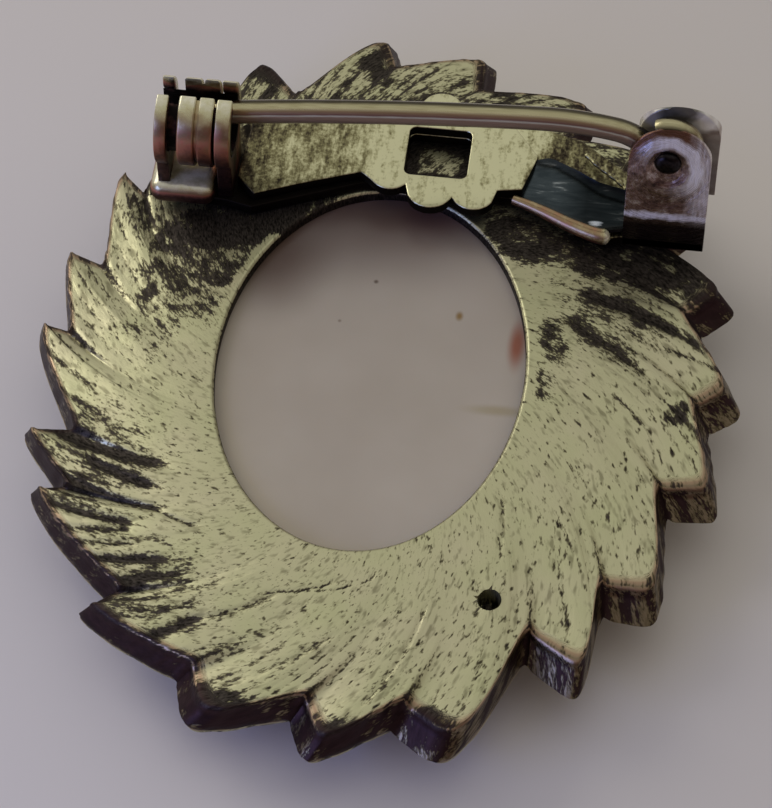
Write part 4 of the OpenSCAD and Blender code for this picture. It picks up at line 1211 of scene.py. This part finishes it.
def build_barrel():
    """The turning catch: a half section spun round the pin line, its mouth cut, and its tab."""
    left, right = CHEEK_A + 0.01, CHEEK_A + CATCH_W - 0.01
    mid, end = BARREL_X + 0.53 * BARREL_W, BARREL_X + BARREL_W
    rim = [(0, 0.08), (0.05, 0.02), (0.12, 0)]
    groove = [(-0.16, 0), (-0.1, 0.05), (-0.07, 0.24), (0.07, 0.24), (0.1, 0.05), (0.16, 0)]
    half = [(left, KEEP_R), (left, COLLAR_R), (BARREL_X, COLLAR_R)]
    half += [(BARREL_X + x, CATCH_R - d) for x, d in rim] + [(mid + x, CATCH_R - d) for x, d in groove]
    half += [(end - x, CATCH_R - d) for x, d in reversed(rim)]
    half += [(end, COLLAR_R), (right, COLLAR_R), (right, KEEP_R)]
    made = spun("barrel_turned", [(x, CATCH_Y, CATCH_Z + r) for x, r in half],
                (0, CATCH_Y, CATCH_Z), (1, 0, 0), 96)
    wide = BARREL_W / 2
    arc = [(wide * math.cos(a), TAB_LONG + wide * math.sin(a)) for a in np.linspace(0, math.pi, 25)]
    tab = slab("barrel_tab", [(-wide, 0), (wide, 0)] + arc, TAB_T)
    place = Matrix.Translation(((BARREL_X + wide) * MM, CATCH_Y * MM, CATCH_Z * MM))
    lay = Matrix.Translation((0, TAB_T / 2 * MM, 0.8 * CATCH_R * MM))
    tab.data.transform(place @ Matrix.Rotation(math.radians(TAB_TURN), 4, 'X') @ lay
                       @ Matrix.Rotation(math.radians(90), 4, 'X'))
    tidy_mesh(tab)
    combine(made, tab, 'UNION')
    combine(made, box_at("mouth_cutter", (left - 1, PIN_Y - MOUTH_NEAR, CATCH_Z),
                         (right + 1, PIN_Y + MOUTH_FAR, CATCH_Z + CATCH_R + 1)))
    tidy_mesh(made)
    smooth(made, 35)
    catch_tarnish_and_shade(made)
    return made


class BROOCH_OT_hinge_rivet(bpy.types.Operator):
    """Make the domed rivet of the hinge"""
    bl_idname = "brooch.hinge_rivet"
    bl_label = "Hinge rivet"

    def execute(self, context):
        settle(build_rivet(), blued_rivet(), "brooch", "hinge_rivet")
        return {'FINISHED'}


class BROOCH_OT_pin(bpy.types.Operator):
    """Make the pin wire with its eye and its point"""
    bl_idname = "brooch.pin"
    bl_label = "Pin"

    def execute(self, context):
        settle(build_pin(), drawn_wire(), "pin", "pin")
        return {'FINISHED'}


class BROOCH_OT_catch(bpy.types.Operator):
    """Make the turning barrel of the catch"""
    bl_idname = "brooch.catch"
    bl_label = "Catch"

    def execute(self, context):
        made = turned_catch()
        made.name = "turned barrel brass"
        settle(build_barrel(), made, "barrel", "catch_barrel")
        return {'FINISHED'}


# ---- Stage

def light(name, place, aim, size, power, colour):
    """A soft square lamp that looks at a place, all in millimetres."""
    work_on(None)
    bpy.ops.object.light_add(type='AREA', location=[c * MM for c in place])
    lamp = bpy.context.object
    lamp.name = name
    lamp.data.size = size * MM
    lamp.data.energy = power
    lamp.data.color = paint(colour)[:3]
    lamp.rotation_euler = (Vector(aim) - Vector(place)).to_track_quat('-Z', 'Y').to_euler()


def soft_sky():
    """A plain studio sky: pale overhead and behind, dim and warm low in front."""
    world = bpy.data.worlds.new("soft studio")
    bpy.context.scene.world = world
    world.use_nodes = True
    world.node_tree.nodes.clear()
    where = put(world, 'TexCoord', out='Generated')
    front, up = [put(world, 'SeparateXYZ', (where,), out=axis) for axis in 'YZ']
    level = put(world, 'Math', (up, 0.8), operation='MULTIPLY')
    level = put(world, 'Math', (front, 0.42, level), operation='MULTIPLY_ADD')
    tone = put(world, 'ValToRGB', (level,), ramp=[
        (0.0, "#705A56"), (0.12, "#8E746C"), (0.3, "#A99D95"), (0.5, "#D0CCC2"), (0.9, "#F0EFE4")])
    put(world, 'OutputWorld', (put(world, 'Background', (tone, SKY_POWER)),))


class BROOCH_OT_stage(bpy.types.Operator):
    """Make the floor, the lights and the camera"""
    bl_idname = "brooch.stage"
    bl_label = "Stage"

    def execute(self, context):
        work_on(None)
        bpy.ops.mesh.primitive_plane_add(size=1.2, location=(0, 0, 0))
        floor = added("floor")
        floor.data.materials.append(pale_floor())
        soft_sky()
        light("key", *KEY, sizes().key, "#FFFBF0")
        light("fill", *FILL, FILL_POWER, "#98AEFF")
        level = math.cos(CAMERA_RISE)
        way = Vector((math.sin(CAMERA_TURN) * level, -math.cos(CAMERA_TURN) * level,
                      math.sin(CAMERA_RISE)))
        bpy.ops.object.camera_add(location=AIM + way * CAMERA_FAR)
        camera = bpy.context.object
        camera.name = "camera"
        camera.rotation_euler = (-way).to_track_quat('-Z', 'Y').to_euler()
        camera.data.lens = LENS
        camera.data.sensor_width = SENSOR
        camera.data.clip_start = 0.005
        camera.data.clip_end = 5
        bpy.context.scene.camera = camera
        bpy.context.scene.view_settings.view_transform = 'Standard'
        return {'FINISHED'}


class BROOCH_PT_panel(bpy.types.Panel):
    """Lists the pieces of the brooch"""
    bl_idname = "BROOCH_PT_panel"
    bl_label = "Oval cameo brooch"
    bl_space_type = 'VIEW_3D'
    bl_region_type = 'UI'
    bl_category = "Brooch"

    def draw(self, context):
        for group in (context.scene.brooch_sizes, context.scene.brooch_colours):
            for name in group.__annotations__:
                self.layout.prop(group, name)
        for operator in OPERATORS:
            self.layout.operator(operator.bl_idname)


OPERATORS = (BROOCH_OT_leaf_frame, BROOCH_OT_cameo, BROOCH_OT_pin_bar, BROOCH_OT_hinge_rivet,
             BROOCH_OT_pin, BROOCH_OT_catch, BROOCH_OT_stage)
CLASSES = (BroochSizes, BroochColours) + OPERATORS + (BROOCH_PT_panel,)


def register():
    for made in CLASSES:
        bpy.utils.register_class(made)
    bpy.types.Scene.brooch_sizes = bpy.props.PointerProperty(type=BroochSizes)
    bpy.types.Scene.brooch_colours = bpy.props.PointerProperty(type=BroochColours)


def unregister():
    del bpy.types.Scene.brooch_sizes
    del bpy.types.Scene.brooch_colours
    for made in reversed(CLASSES):
        bpy.utils.unregister_class(made)


def main():
    register()
    bpy.ops.brooch.leaf_frame()
    bpy.ops.brooch.cameo()
    bpy.ops.brooch.pin_bar()
    bpy.ops.brooch.hinge_rivet()
    bpy.ops.brooch.pin()
    bpy.ops.brooch.catch()
    bpy.ops.brooch.stage()


if __name__ == "__main__":
    main()
